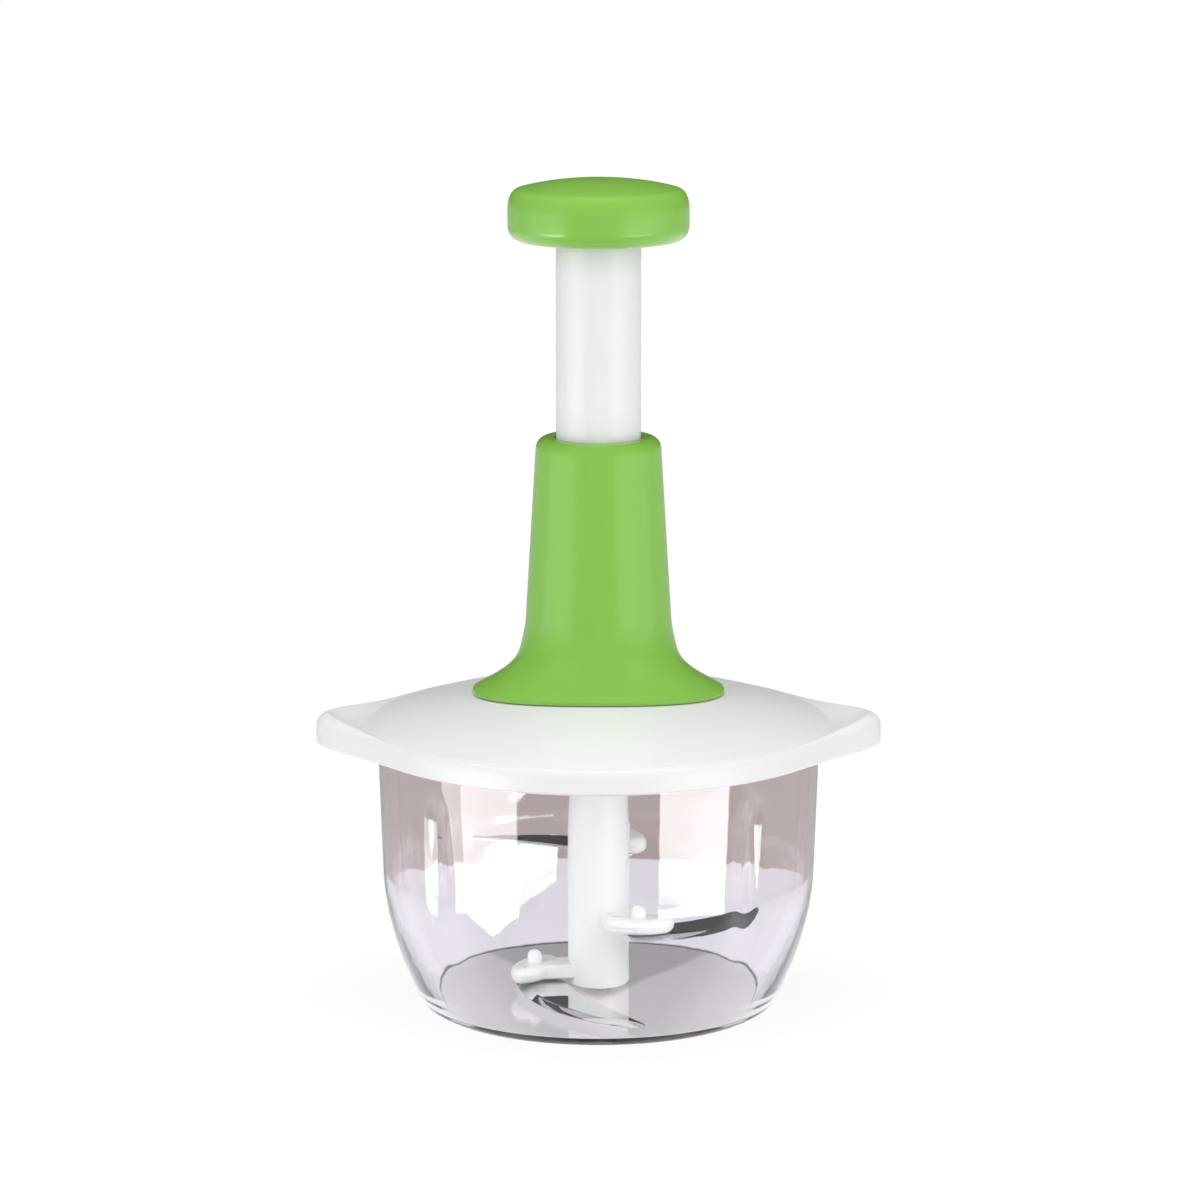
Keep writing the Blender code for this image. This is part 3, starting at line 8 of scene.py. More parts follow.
import bpy
import numpy as np
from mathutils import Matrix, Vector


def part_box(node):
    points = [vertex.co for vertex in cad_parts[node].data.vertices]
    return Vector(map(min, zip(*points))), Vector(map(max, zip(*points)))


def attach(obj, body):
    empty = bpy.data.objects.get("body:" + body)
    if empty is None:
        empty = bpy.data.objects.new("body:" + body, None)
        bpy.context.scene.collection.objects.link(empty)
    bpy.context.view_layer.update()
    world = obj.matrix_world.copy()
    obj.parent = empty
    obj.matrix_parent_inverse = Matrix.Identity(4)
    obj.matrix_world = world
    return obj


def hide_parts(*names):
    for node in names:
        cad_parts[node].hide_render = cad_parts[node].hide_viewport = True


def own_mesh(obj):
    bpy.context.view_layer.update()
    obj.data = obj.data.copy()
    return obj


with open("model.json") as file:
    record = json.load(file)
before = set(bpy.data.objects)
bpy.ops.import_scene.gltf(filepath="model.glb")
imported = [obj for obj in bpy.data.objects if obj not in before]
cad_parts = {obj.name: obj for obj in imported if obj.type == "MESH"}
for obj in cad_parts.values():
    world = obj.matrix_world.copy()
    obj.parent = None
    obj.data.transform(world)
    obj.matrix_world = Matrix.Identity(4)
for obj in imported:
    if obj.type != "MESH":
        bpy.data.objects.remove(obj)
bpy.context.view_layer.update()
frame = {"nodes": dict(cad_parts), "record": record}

MM = 0.001
GAP = 0.3
FINE_COLUMNS = 240
MEDIUM_COLUMNS = 120
SMALL_COLUMNS = 48
SHARP_ANGLE = math.radians(38)

# Lengths are in millimetres and angles in degrees up to the studio. A pole is the end ring that a fan
# closes, and a crowding is a power that draws rows together where the shape bends most.

# Fillets, from the crispest edge to the softest
HAIR = 0.1
CRISP = 0.2
FINE = 0.3
EASED = 0.4
SOFT = 0.5
ROUND = 0.6
FULL = 0.8

# Bowl
BOWL_LEAN = 1.4
BOWL_SHOULDER_Z = 42.0
BOWL_HEEL_INSET = 11.8
BOWL_WALL = 2.4
BOWL_FLOOR = 2.6
BOWL_CURVE_POWER = 1.85
BOWL_HEEL_THICKENING = 0.5
BOWL_EDGE_BAND = 0.8
BOWL_EDGE_CLEARANCE = 0.9
BOWL_ROWS = 90
BOWL_INNER_CROWDING = 1.25
BOWL_COLUMNS = 360
FOOT_RADIUS = 51.0
FOOT_RING = 1.2
FOOT_ROUND = 1.2
FOOT_SLOPE = 1.0
FOOT_RECESS = 0.6
FOOT_POLE_RADIUS = 2.0
FLUTE_PITCH = 90.0
FLUTE_DEPTH = 1.2
FLUTE_HALF_WIDTH = 4.8
FLUTE_TOP_HALF_WIDTH = 3.0
FLUTE_WIDENING = 30.0
FLUTE_TOP_DROP = 8.0
FLUTE_TOP_FADE = 10.0
FLUTE_BOTTOM = 16.0
FLUTE_BOTTOM_FADE = 32.0
FLUTE_TURN = 1.6
BOSS_RADIUS = 4.0
BOSS_TOP = 6.0
PIVOT_HOLE_RADIUS = 2.3
PIVOT_HOLE_DEPTH = 2.9

# Rotor
COLUMN_RADIUS = 9.2
COLUMN_NECK_LENGTH = 15.5
COLUMN_NECK_RADIUS = 8.3
COLUMN_NECK_FILLET = 12.0
COLUMN_SHOULDER_FILLET = 0.7
COLUMN_BORE_POLE_RADIUS = 0.1
COLUMN_TOP_POLE_RADIUS = 4.0
COLUMN_SHOULDER_Z = 67.43
HEXAGON_APOTHEM = 5.0
HEXAGON_ROOT = 1.0
HEXAGON_CHAMFER = 0.6
HEXAGON_FACE_FALL = 0.05
HEXAGON_TAPER_SHARES = (1, 1, 1, 1, 0.9, 0.88)
PIN_CIRCLE = 19.3
PIN_RADIUS = 2.2
PIN_HEAD_RADIUS = 3.1
PIN_HEAD = 0.8
PIN_POLE_RADIUS = 0.2
PIN_TIP_RADIUS = 0.03
PIN_DOME_SHARE = 0.98
MIDDLE_PIN_ANGLE = -52.3
BLADE_PITCH_ANGLE = 120.0
BLADE_THICKNESS = 1.0
BLADE_EDGE = 0.2
BLADE_BEVEL = 3.0
BLADE_ROOT_RADIUS = 24.5
BLADE_WIDTH = 15.1
BLADE_ROOT_ANGLE = -13.7
BLADE_WALL_CLEARANCE = 12.7
LOWER_BLADE_CLEARANCE = 1.0
BLADE_SWEEPS = {"lower": 113.0, "middle": 81.0, "upper": 86.0}
BLADE_POWERS = {"lower": 2.1, "middle": 1.4, "upper": 1.4}
BLADE_ROOT_WIDTH_SHARE = 0.62
BLADE_FULL_WIDTH_SHARE = 0.30
BLADE_TIP_SHARE = 0.985
BLADE_STATIONS = 120
BLADE_STATION_CROWDING = 1.5
BLADE_STEP_SHARE = 0.01
BLADE_TIP_POWER = 5
BLADE_TIP_ROUNDING = 0.8
BLADE_HOLLOW = 0.12
BLADE_BACK_ROUND = 0.4
BLADE_ARC_POINTS = 7
BLADE_FLAT_END_SHARE = 0.03
BLADE_UNDERSIDE_SHARE = 0.3
ARM_HALF_LENGTH = 10.5
ARM_HALF_WIDTH = 5.6
ARM_THICKNESS = 5.0
ARM_ROUND = 2.4
ARM_POLE = 0.3
ARM_COLUMNS = 96
ARM_WEB_WIDTH = 9.8
ARM_WEB_START = 2.0
ARM_WEB_SHORTFALL = 1.0
ARM_WEB_STATIONS = 12
ARM_TURN_ANGLE = 52.3

# Lid
RIM_Z = 85.0
LID_WALL = 2.0
LID_RIM_ROUND = 2.2
LID_CREST_INSET = 1.0
EAR_ANGLE = 15.5
EAR_POWER = 1.7
EAR_RISE = 2.2
EAR_CREST = 3.0
EAR_ROUND = 1.6
DOME_RADIUS = 67.5
DOME_FOOT_RISE = 0.2
DOME_SLOPE = 0.24
GUTTER_WIDTH = 0.7
GUTTER_DEPTH = 0.35
GUTTER_ROWS = 22
EAR_GUTTER_DEPTH = 2.2
DOME_BULGE = 0.8
DOME_ROWS = 40
DECK_RADIUS = 24.96
DECK_Z = 94.63
DECK_THICKNESS = 2.5
BUSH_HOLE_RADIUS = 7.2
SKIRT_RADIUS = 66.6
LID_RADIUS = 68.6
SEAT_Z = 82.3
LANDING_RADIUS = 62.7
POCKET_ROOF = 83.0
POCKET_FADE = 2.0
POCKET_WALL = 0.6
POCKET_SLIT = 0.2
POCKET_SEAM = 0.02
POCKET_DRAFT = 0.05
COVER_WALL = 2.8
COVER_PLATE_Z = 76.93
COVER_PLATE_THICKNESS = 2.0
COVER_RIM_DROP = 0.4
COVER_GROOVE = 1.2
COVER_HUB_BORE = 12.3
COVER_HUB_RADIUS = 14.7
SEAL_LIP = 0.7
SEAL_CLEFT = 0.15

# Tower
TOWER_BASE_X = 37.2
TOWER_BASE_Y = 28.2
TOWER_BASE_BAND = 1.5
TOWER_BASE_ROUND = 0.6
TOWER_FOOT_ROUND = 0.25
TOWER_FOOT_EASE = 0.07
TOWER_BAND_LIFTS = (0.5, 0.8)
TOWER_NECK_RISE = 12.4
TOWER_NECK_SWELL = 2.2
TOWER_NECK_BLEND = 9.0
TOWER_TOP_RADIUS = 18.2
TOWER_TAPER = 0.06
TOWER_TOP_ROUND = 3.4
TOWER_WALL = 2.2
TOWER_LIP = 2.5
TOWER_MOUTH_RADIUS = 12.7
TOWER_ROW_GAP = 0.3
SHAFT_ROWS = 40
FLARE_POWER = 3.0
FLARE_ROWS = 48
FLARE_ROW_CROWDING = 1.3
FLARE_START_SHARE = 0.004
HOLLOW_ROWS = 24

# Plunger and knob
SCREW_HOLE_RADIUS = 1.8
PLUNGER_RADIUS = 12.4
PLUNGER_BORE = 10.2
PLUNGER_BORE_STEP = 1.4
PLUNGER_FLANGE = 3.0
PLUNGER_WEB = 2.5
KNOB_POLE_RADIUS = 0.05
KNOB_RIM_WIDTH = 3.3
KNOB_SHOULDER = 5.7
KNOB_HEEL = 4.5
KNOB_CROWN = 2.7
KNOB_CROWN_POWER = 2.2
KNOB_EDGE_DROP = 0.1
KNOB_EDGE_SHARE = 0.12
KNOB_ARC_ROWS = 14
KNOB_CROWN_ROWS = 24
KNOB_WALL = 2.6
KNOB_CEILING = 3.6
KNOB_LEDGE = 2.2
KNOB_HEEL_STEP = 0.05
KNOB_SOCKET_BORE = 12.7
KNOB_SOCKET_RADIUS = 15.1
KNOB_SCREW_DEPTH = 4.1

# Springs: node, body, radius of the wire, turns, and turns that are wound close at each end
SPRINGS = (("return_spring", "lid", 0.6, 10, 1.0),
           ("dog_spring", "drive_shaft", 0.25, 2.5, 0.4))
SPRING_STATIONS_PER_TURN = 28
SPRING_WIRE_COLUMNS = 12
SPRING_CLOSED_PITCH = 0.16
SPRING_CLOSED_HOLD = 0.3


def span(node):
    """The lowest and highest corners of a node of the frame, in millimetres."""
    low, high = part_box(node)
    return np.array(low) / MM, np.array(high) / MM


BOWL_RIM_RADIUS, _, BOWL_RIM_Z = span("bowl")[1]
TOWER_TOP_Z = span("tower_housing")[1][2]
SKIRT_Z = span("lid_shell")[0][2]
EAR_TIP = span("lid_shell")[1][0]


def smooth(value):
    """Rises from 0 to 1 with level ends: 3t² - 2t³ of the value held between 0 and 1."""
    t = np.clip(value, 0.0, 1.0)
    return t * t * (3 - 2 * t)


def turns(columns):
    """Angles once round, in radians, counter-clockwise from +X."""
    return np.arange(columns) * math.tau / columns


def skin(name, grid, loop=False):
    """A closed skin over a grid of points in millimetres whose columns run once round: quads between
    rows, then either the last row joined to the first (loop) or a fan of triangles to the middle of
    each end row. A negative signed volume means that the faces point inwards, and they are turned."""
    rows, columns = grid.shape[:2]
    points = grid.reshape(-1, 3)
    index = np.arange(rows * columns).reshape(rows, columns)
    if loop:
        index = np.vstack([index, index[:1]])
    beside = np.roll(index, -1, axis=1)
    quads = np.stack([index[:-1], beside[:-1], beside[1:], index[1:]], axis=-1).reshape(-1, 4)
    fans = np.zeros((0, 3), dtype=int)
    if not loop:
        middles = np.stack([grid[0].mean(axis=0), grid[-1].mean(axis=0)])
        first = np.full(columns, len(points))
        fans = np.vstack([np.stack([first, beside[0], index[0]], axis=-1),
                          np.stack([first + 1, index[-1], beside[-1]], axis=-1)])
        points = np.vstack([points, middles])
    triangles = np.vstack([quads[:, :3], quads[:, [0, 2, 3]], fans])
    a, b, c = (points[triangles[:, k]] for k in range(3))
    if np.einsum("ij,ij->", a, np.cross(b, c)) < 0:
        quads, fans = quads[:, ::-1], fans[:, ::-1]
    mesh = bpy.data.meshes.new(name)
    mesh.from_pydata((points * MM).tolist(), [], quads.tolist() + fans.tolist())
    mesh.validate()
    mesh.shade_smooth()
    mesh.set_sharp_from_angle(angle=SHARP_ANGLE)
    made = bpy.data.objects.new(name, mesh)
    bpy.context.scene.collection.objects.link(made)
    return made


def outline(corners, closed=False, hold=0.2, steps=6):
    """A profile through corners given as (radius, height, fillet): each fillet is an arc that touches
    both of its sides, with a point on each straight close beside it, so that flats shade flat."""
    made = []
    count = len(corners)
    for i, (x, z, fillet) in enumerate(corners):
        here = np.array((x, z), dtype=float)
        if fillet == 0 or (not closed and i in (0, count - 1)):
            made.append(here[None])
            continue
        back = np.array(corners[i - 1][:2]) - here
        ahead = np.array(corners[(i + 1) % count][:2]) - here
        back_length, ahead_length = np.linalg.norm(back), np.linalg.norm(ahead)
        back, ahead = back / back_length, ahead / ahead_length
        half = math.acos(np.clip(back @ ahead, -1, 1)) / 2
        reach = fillet / math.tan(half)
        middle = here + (back + ahead) / np.linalg.norm(back + ahead) * fillet / math.sin(half)
        start, end = here + back * reach - middle, here + ahead * reach - middle
        bend = math.pi - 2 * half
        t = np.linspace(0, 1, steps + 1)[:, None]
        arc = (start * np.sin((1 - t) * bend) + end * np.sin(t * bend)) / math.sin(bend) + middle
        before = here + back * (reach + min(hold, (back_length - reach) / 4))
        after = here + ahead * (reach + min(hold, (ahead_length - reach) / 4))
        made += [before[None], arc, after[None]]
    return np.vstack(made)


def revolve(profile, columns, at=(0.0, 0.0)):
    """The grid of a turned shape: each (radius, height) of the profile goes once round the axis."""
    a = turns(columns)
    radius, z = profile[:, 0, None], profile[:, 1, None]
    return np.stack([at[0] + radius * np.cos(a), at[1] + radius * np.sin(a),
                     z + np.zeros(columns)], axis=-1)


def dress(piece, body, slot, *replaced, material=None):
    """Gives a piece its own finish or its slot's, parents it to its body, and hides the frame nodes
    that it stands for."""
    piece.data.materials.append(material or FINISHES[slot])
    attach(piece, body)
    if replaced:
        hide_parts(*replaced)
    return piece


# Finishes


def linear(colour):
    """The linear colour of an sRGB hex value."""
    s = np.array([int(colour[i:i + 2], 16) for i in (1, 3, 5)]) / 255
    low, high = s / 12.92, ((s + 0.055) / 1.055) ** 2.4
    return (*np.where(s <= 0.04045, low, high), 1.0)


def add(tree, kind, values=None, links=None, **settings):
    """Adds a shader node with its settings, the values of its sockets and the links into them. A socket
    goes by its name, or by its number where others share it: a Mix node's colours are 6 and 7."""
    node = tree.nodes.new("ShaderNode" + kind)
    for name, value in settings.items():
        setattr(node, name, value)
    for name, value in (values or {}).items():
        node.inputs[name].default_value = value
    for name, source in (links or {}).items():
        tree.links.new(source, node.inputs[name])
    return node


def between(start, end):
    """The inputs of a Map Range node that rises from 0 to 1 between two values."""
    return {1: start, 2: end}


def finish(name, colours, roughness, patch, grain, bump, stretch=(1, 1, 1), **sockets):
    """A material whose colour drifts between two close tones and whose roughness drifts between two
    values over patches of the given size, with a grain of its own size pressed in as bump. Sizes are
    in millimetres, and stretch squeezes the grain along an axis, for drawn metal."""
    made = bpy.data.materials.new(name)
    made.use_nodes = True
    tree = made.node_tree
    shader = tree.nodes["Principled BSDF"]
    place = add(tree, "TexCoord").outputs["Object"]
    drift = add(tree, "TexNoise", {"Scale": 1 / (patch * MM), "Detail": 3.0}, {"Vector": place})
    tone = add(tree, "Mix", {6: linear(colours[0]), 7: linear(colours[1])},
               {0: drift.outputs["Fac"]}, data_type="RGBA")
    rough = add(tree, "MapRange", {3: roughness[0], 4: roughness[1]}, {0: drift.outputs["Fac"]})
    laid = add(tree, "Mapping", {"Scale": stretch}, {"Vector": place})
    fine = add(tree, "TexNoise", {"Scale": 1 / (grain * MM), "Detail": 4.0},
               {"Vector": laid.outputs["Vector"]})
    pressed = add(tree, "Bump", {"Strength": bump, "Distance": grain * MM / 4},
                  {"Height": fine.outputs["Fac"]})
    tree.links.new(tone.outputs[2], shader.inputs["Base Color"])
    tree.links.new(rough.outputs[0], shader.inputs["Roughness"])
    tree.links.new(pressed.outputs["Normal"], shader.inputs["Normal"])
    for socket, value in sockets.items():
        shader.inputs[socket.replace("_", " ")].default_value = value
    return made


def white_abs():
    """Injection-moulded white ABS from a polished tool: an even semi-gloss with soft reflections."""
    return finish("white_abs_moulded", ("#D9D9DA", "#DBDBDC"), roughness=(0.30, 0.34), patch=9.0,
                  grain=1.5, bump=0.012)


def white_acetal_with_painted_light():
    """Moulded acetal of the rotor, more waxy than the lid, and a little brighter: partly a whiter tone
    of its own, partly painted light that makes up for the shade that the lid casts on the column.
    """
    return finish("white_acetal_moulded", ("#FBFBFA", "#FDFDFD"), roughness=(0.26, 0.30), patch=6.0,
                  grain=1.2, bump=0.012, Coat_Weight=0.2, Coat_Roughness=0.25)


def green_abs():
    """Mass-coloured green ABS, moulded satin: clean colour with soft upright highlights."""
    return finish("green_abs_moulded", ("#7BB147", "#7DB349"), roughness=(0.24, 0.28), patch=8.0,
                  grain=1.5, bump=0.010)


def natural_nylon():
    """Unpigmented nylon of bushes and nut: milky, matt and faintly warm."""
    return finish("natural_nylon_moulded", ("#DCD9CC", "#E6E3D8"), roughness=(0.40, 0.50), patch=3.0,
                  grain=0.25, bump=0.08)


def milky_silicone():
    """Compression-moulded silicone of the seal: milky and soft, with a dull bloom."""
    return finish("milky_silicone_moulded", ("#DBDDDF", "#E5E7E8"), roughness=(0.52, 0.62), patch=4.0,
                  grain=0.3, bump=0.10)


def ground_stainless():
    """Polished stainless strip: a mirror with a very faint grinding grain."""
    return finish("stainless_strip_polished", ("#DCDEE1", "#E4E6E8"), roughness=(0.025, 0.045), patch=5.0,
                  grain=1.0, bump=0.006, Metallic=1.0)


def drawn_stainless():
    """Drawn stainless wire and turned pins: bright, with fine lines that run level round them."""
    return finish("stainless_wire_drawn", ("#A9ABAE", "#BEC0C2"), roughness=(0.22, 0.34), patch=4.0,
                  grain=0.4, bump=0.10, stretch=(1, 1, 6), Metallic=1.0)


def clear_san():
    """Clear SAN from a polished tool: water-clear with a faint lavender cast, and slow flow waves
    that bend the reflections a little. Lamps shine through it, as through the real wall."""
    made = finish("clear_san_moulded", ("#FDFCFE", "#FFFEFF"), roughness=(0.0, 0.004), patch=22.0,
                  grain=26.0, bump=0.012, Transmission_Weight=1.0, IOR=1.52)
    tree = made.node_tree
    ray = add(tree, "LightPath").outputs
    open_to = add(tree, "Math", None, {0: ray["Is Shadow Ray"], 1: ray["Is Diffuse Ray"]},
                  operation="MAXIMUM")
    passing = add(tree, "BsdfTransparent", {"Color": (1, 1, 1, 1)})
    both = add(tree, "MixShader", None,
               {0: open_to.outputs[0], 1: tree.nodes["Principled BSDF"].outputs[0],
                2: passing.outputs[0]})
    tree.links.new(both.outputs[0], tree.nodes["Material Output"].inputs["Surface"])
    return made


FINISHES = {"white_plastic": white_abs(), "green_plastic": green_abs(), "nylon": natural_nylon(),
            "silicone": milky_silicone(), "blade_steel": ground_stainless(),
            "spring_steel": drawn_stainless(), "clear_plastic": clear_san()}
# The rotor's finish: brighter than the lid's partly as painted light, for the lid's shade on the column
ACETAL_WITH_PAINTED_LIGHT = white_acetal_with_painted_light()


def dress_frame_nodes():
    """Gives each node of the frame that stays in view the finish of its slot."""
    for entry in frame["record"]["subparts"]:
        mesh = frame["nodes"][entry["node"]].data
        mesh.materials.clear()
        mesh.materials.append(FINISHES[entry["material_slot"]])


# Bowl


def bowl_outside(z):
    """Outer radius: a power curve from the heel to the shoulder, then a wall that leans out."""
    shoulder = BOWL_RIM_RADIUS - BOWL_LEAN
    lean = np.clip((z - BOWL_SHOULDER_Z) / (BOWL_RIM_Z - BOWL_SHOULDER_Z), 0, 1)
    left = np.clip(1 - z / BOWL_SHOULDER_Z, 0, 1) ** BOWL_CURVE_POWER
    return shoulder + BOWL_LEAN * lean - BOWL_HEEL_INSET * left


def bowl_inside(z):
    """Inner radius: the same wall, with its own power curve from the floor to the shoulder."""
    wide = BOWL_RIM_RADIUS - BOWL_LEAN - BOWL_WALL
    lean = np.clip((z - BOWL_SHOULDER_Z) / (BOWL_RIM_Z - BOWL_SHOULDER_Z), 0, 1)
    left = np.clip(1 - (z - BOWL_FLOOR) / (BOWL_SHOULDER_Z - BOWL_FLOOR), 0, 1)
    return wide + BOWL_LEAN * lean - (BOWL_HEEL_INSET + BOWL_HEEL_THICKENING) * left ** BOWL_CURVE_POWER


def flute_depth(radius, angle, z):
    """How far a flute presses the wall in: exp(-(arc / half width)²) across, and faded at both ends."""
    away = np.abs((np.degrees(angle) + FLUTE_TURN + FLUTE_PITCH) % FLUTE_PITCH - FLUTE_PITCH / 2)
    top = BOWL_RIM_Z - FLUTE_TOP_DROP
    widened = smooth((top - z) / FLUTE_WIDENING)
    half = FLUTE_TOP_HALF_WIDTH + (FLUTE_HALF_WIDTH - FLUTE_TOP_HALF_WIDTH) * widened
    across = np.radians(away) * radius / half
    ends = smooth((top - z) / FLUTE_TOP_FADE) * smooth((z - FLUTE_BOTTOM) / FLUTE_BOTTOM_FADE)
    return FLUTE_DEPTH * np.exp(-across * across) * ends


def make_bowl():
    """Rows run from the recess under the foot, up the outside, over the rim and down to the boss."""
    recess = FOOT_RADIUS - FOOT_RING
    foot = outline([(FOOT_POLE_RADIUS, FOOT_RECESS, 0), (recess - FOOT_SLOPE, FOOT_RECESS, FULL),
                    (recess, 0.0, FINE), (FOOT_RADIUS, 0.0, EASED),
                    (bowl_outside(FOOT_ROUND), FOOT_ROUND, 0)])
    wall_top = BOWL_RIM_Z - BOWL_EDGE_CLEARANCE
    outer = np.linspace(FOOT_ROUND + EASED, wall_top, BOWL_ROWS)
    falling = np.linspace(1, 0, BOWL_ROWS) ** BOWL_INNER_CROWDING
    inner = BOWL_FLOOR + (wall_top - BOWL_FLOOR) * falling
    inner = inner[inner > BOWL_FLOOR + BOWL_EDGE_CLEARANCE]
    rim_low, inside = BOWL_RIM_Z - BOWL_EDGE_BAND, BOWL_RIM_RADIUS - BOWL_WALL
    rim = outline([(BOWL_RIM_RADIUS, rim_low, 0), (BOWL_RIM_RADIUS, BOWL_RIM_Z, ROUND),
                   (inside, BOWL_RIM_Z, ROUND), (inside, rim_low, 0)])
    bend_top, hole = BOWL_FLOOR + BOWL_EDGE_BAND, PIVOT_HOLE_RADIUS
    floor = outline([(bowl_inside(bend_top), bend_top, 0), (bowl_inside(BOWL_FLOOR), BOWL_FLOOR, SOFT),
                     (BOSS_RADIUS, BOWL_FLOOR, SOFT), (BOSS_RADIUS, BOSS_TOP, EASED),
                     (hole, BOSS_TOP, CRISP), (hole, BOSS_TOP - PIVOT_HOLE_DEPTH, 0)])
    profile = np.vstack([foot, np.stack([bowl_outside(outer), outer], axis=-1), rim,
                         np.stack([bowl_inside(inner), inner], axis=-1), floor])
    a = turns(BOWL_COLUMNS)
    radius, z = profile[:, 0, None], profile[:, 1, None]
    radius = radius - flute_depth(radius, a, z)
    grid = np.stack([radius * np.cos(a), radius * np.sin(a), z + 0 * a], axis=-1)
    dress(skin("bowl_clear", grid), "bowl", "clear_plastic", "bowl")


# Rotor


def polar(radius, degrees):
    """The x and y of a radius and an angle."""
    return radius * math.cos(math.radians(degrees)), radius * math.sin(math.radians(degrees))


def pin_angle(name):
    """The pins stand one pitch apart round the column, counter-clockwise from the lower one."""
    return MIDDLE_PIN_ANGLE + BLADE_PITCH_ANGLE * {"lower": -1, "middle": 0, "upper": 1}[name]


def blade_edge(name, share, low):
    """The sharp outer edge: the radius grows as a power of the share of the sweep."""
    lowest = bowl_inside(low) - LOWER_BLADE_CLEARANCE
    reach = lowest if name == "lower" else BOWL_RIM_RADIUS - BLADE_WALL_CLEARANCE
    grown = np.clip(share, 0, None) ** BLADE_POWERS[name]
    radius = BLADE_ROOT_RADIUS + (reach - BLADE_ROOT_RADIUS) * grown
    angle = np.radians(pin_angle(name) + BLADE_ROOT_ANGLE + BLADE_SWEEPS[name] * share)
    return np.stack([radius * np.cos(angle), radius * np.sin(angle)], axis=-1)


def make_blade(name):
    """Sections square to the sharp edge, from root to tip: a flat underside, a hollow-ground bevel on
    the outer top and a rounded back. The width rises as a sine from the root and runs out at the tip."""
    low = span("blade_" + name)[0][2]
    share = BLADE_TIP_SHARE * (1 - (1 - np.linspace(0, 1, BLADE_STATIONS)) ** BLADE_STATION_CROWDING)
    edge = blade_edge(name, share, low)
    before, after = np.clip(share - BLADE_STEP_SHARE, 0, 1), share + BLADE_STEP_SHARE
    along = blade_edge(name, after, low) - blade_edge(name, before, low)
    along /= np.linalg.norm(along, axis=1)[:, None]
    inward = np.stack([-along[:, 1], along[:, 0]], axis=-1)
    rise = np.sin(np.clip(share / BLADE_FULL_WIDTH_SHARE, 0, 1) * math.pi / 2)
    wide = BLADE_WIDTH * (BLADE_ROOT_WIDTH_SHARE + (1 - BLADE_ROOT_WIDTH_SHARE) * rise)
    wide = (wide * (1 - share ** BLADE_TIP_POWER) ** BLADE_TIP_ROUNDING)[:, None]
    bevel = np.minimum(BLADE_BEVEL, wide / 2)
    t = np.linspace(0, 1, BLADE_ARC_POINTS)
    ground = BLADE_EDGE + (BLADE_THICKNESS - BLADE_EDGE) * (t - BLADE_HOLLOW * np.sin(math.pi * t))
    back = np.linspace(0, math.pi, BLADE_ARC_POINTS)
    round_back = np.minimum(BLADE_BACK_ROUND, wide / 4)
    flat = wide - bevel - round_back
    away = np.hstack([0 * wide, bevel * t, bevel + flat * BLADE_FLAT_END_SHARE,
                      bevel + flat * (1 - BLADE_FLAT_END_SHARE),
                      wide - round_back + round_back * np.sin(back), BLADE_UNDERSIDE_SHARE * wide])
    height = np.hstack([[0.0], ground, [BLADE_THICKNESS] * 2,
                        BLADE_THICKNESS * (1 + np.cos(back)) / 2, [0.0]])
    at = edge[:, None, :] + inward[:, None, :] * away[:, :, None]
    grid = np.concatenate([at, np.broadcast_to(low + height, away.shape)[..., None]], axis=-1)
    dress(skin("blade_%s_ground" % name, grid), "blade_rotor", "blade_steel", "blade_" + name)


def make_pin(name):
    """A pin with a flat head under the blade and a domed end above its arm."""
    low, high = span("blade_pin_" + name)
    at = polar(PIN_CIRCLE, pin_angle(name))
    neck = low[2] + PIN_HEAD
    profile = outline([(PIN_POLE_RADIUS, low[2], 0), (PIN_HEAD_RADIUS, low[2], FINE),
                       (PIN_HEAD_RADIUS, neck, CRISP), (PIN_RADIUS, neck, 0),
                       (PIN_RADIUS, high[2], PIN_RADIUS * PIN_DOME_SHARE),
                       (PIN_TIP_RADIUS, high[2], 0)], steps=10)
    dress(skin("blade_pin_%s_domed" % name, revolve(profile, SMALL_COLUMNS, at)), "blade_rotor",
          "white_plastic", "blade_pin_" + name, material=ACETAL_WITH_PAINTED_LIGHT)


def arm_low(name):
    """The underside of an arm, a gap above its blade."""
    return span("blade_" + name)[0][2] + BLADE_THICKNESS + GAP


def make_arm_pad(name):
    """A pad round the pin: an ellipse whose half axes shrink with the inset of its rounded edges."""
    low = arm_low(name)
    pole, top = ARM_POLE - ARM_HALF_WIDTH, low + ARM_THICKNESS
    profile = outline([(pole, low, 0), (0.0, low, ARM_ROUND), (0.0, top, ARM_ROUND), (pole, top, 0)],
                      steps=8)
    a = turns(ARM_COLUMNS)
    inset, z = profile[:, 0, None], profile[:, 1, None]
    along = (ARM_HALF_LENGTH + inset) * np.cos(a)
    across = (ARM_HALF_WIDTH + inset) * np.sin(a)
    c, s = polar(1.0, pin_angle(name) + ARM_TURN_ANGLE)
    x, y = polar(PIN_CIRCLE, pin_angle(name))
    pad = np.stack([x + along * c - across * s, y + along * s + across * c, z + 0 * a], axis=-1)
    dress(skin("arm_pad_" + name, pad), "blade_rotor", "white_plastic", material=ACETAL_WITH_PAINTED_LIGHT)


def make_arm_web(name):
    """A rounded bar, thinner than the pad, from inside the column to inside the pad."""
    low = arm_low(name)
    c, s = polar(1.0, pin_angle(name))
    half, thick = ARM_WEB_WIDTH / 2, ARM_THICKNESS / 2 - GAP
    section = outline([(-half, -thick, FULL), (half, -thick, FULL), (half, thick, FULL),
                       (-half, thick, FULL)], closed=True)
    across, up = section[None, :, 0], section[None, :, 1]
    out = np.linspace(ARM_WEB_START, PIN_CIRCLE - ARM_WEB_SHORTFALL, ARM_WEB_STATIONS)[:, None]
    web = np.stack([out * c - across * s, out * s + across * c,
                    low + ARM_THICKNESS / 2 + up + 0 * out], axis=-1)
    dress(skin("arm_web_" + name, web), "blade_rotor", "white_plastic", material=ACETAL_WITH_PAINTED_LIGHT)


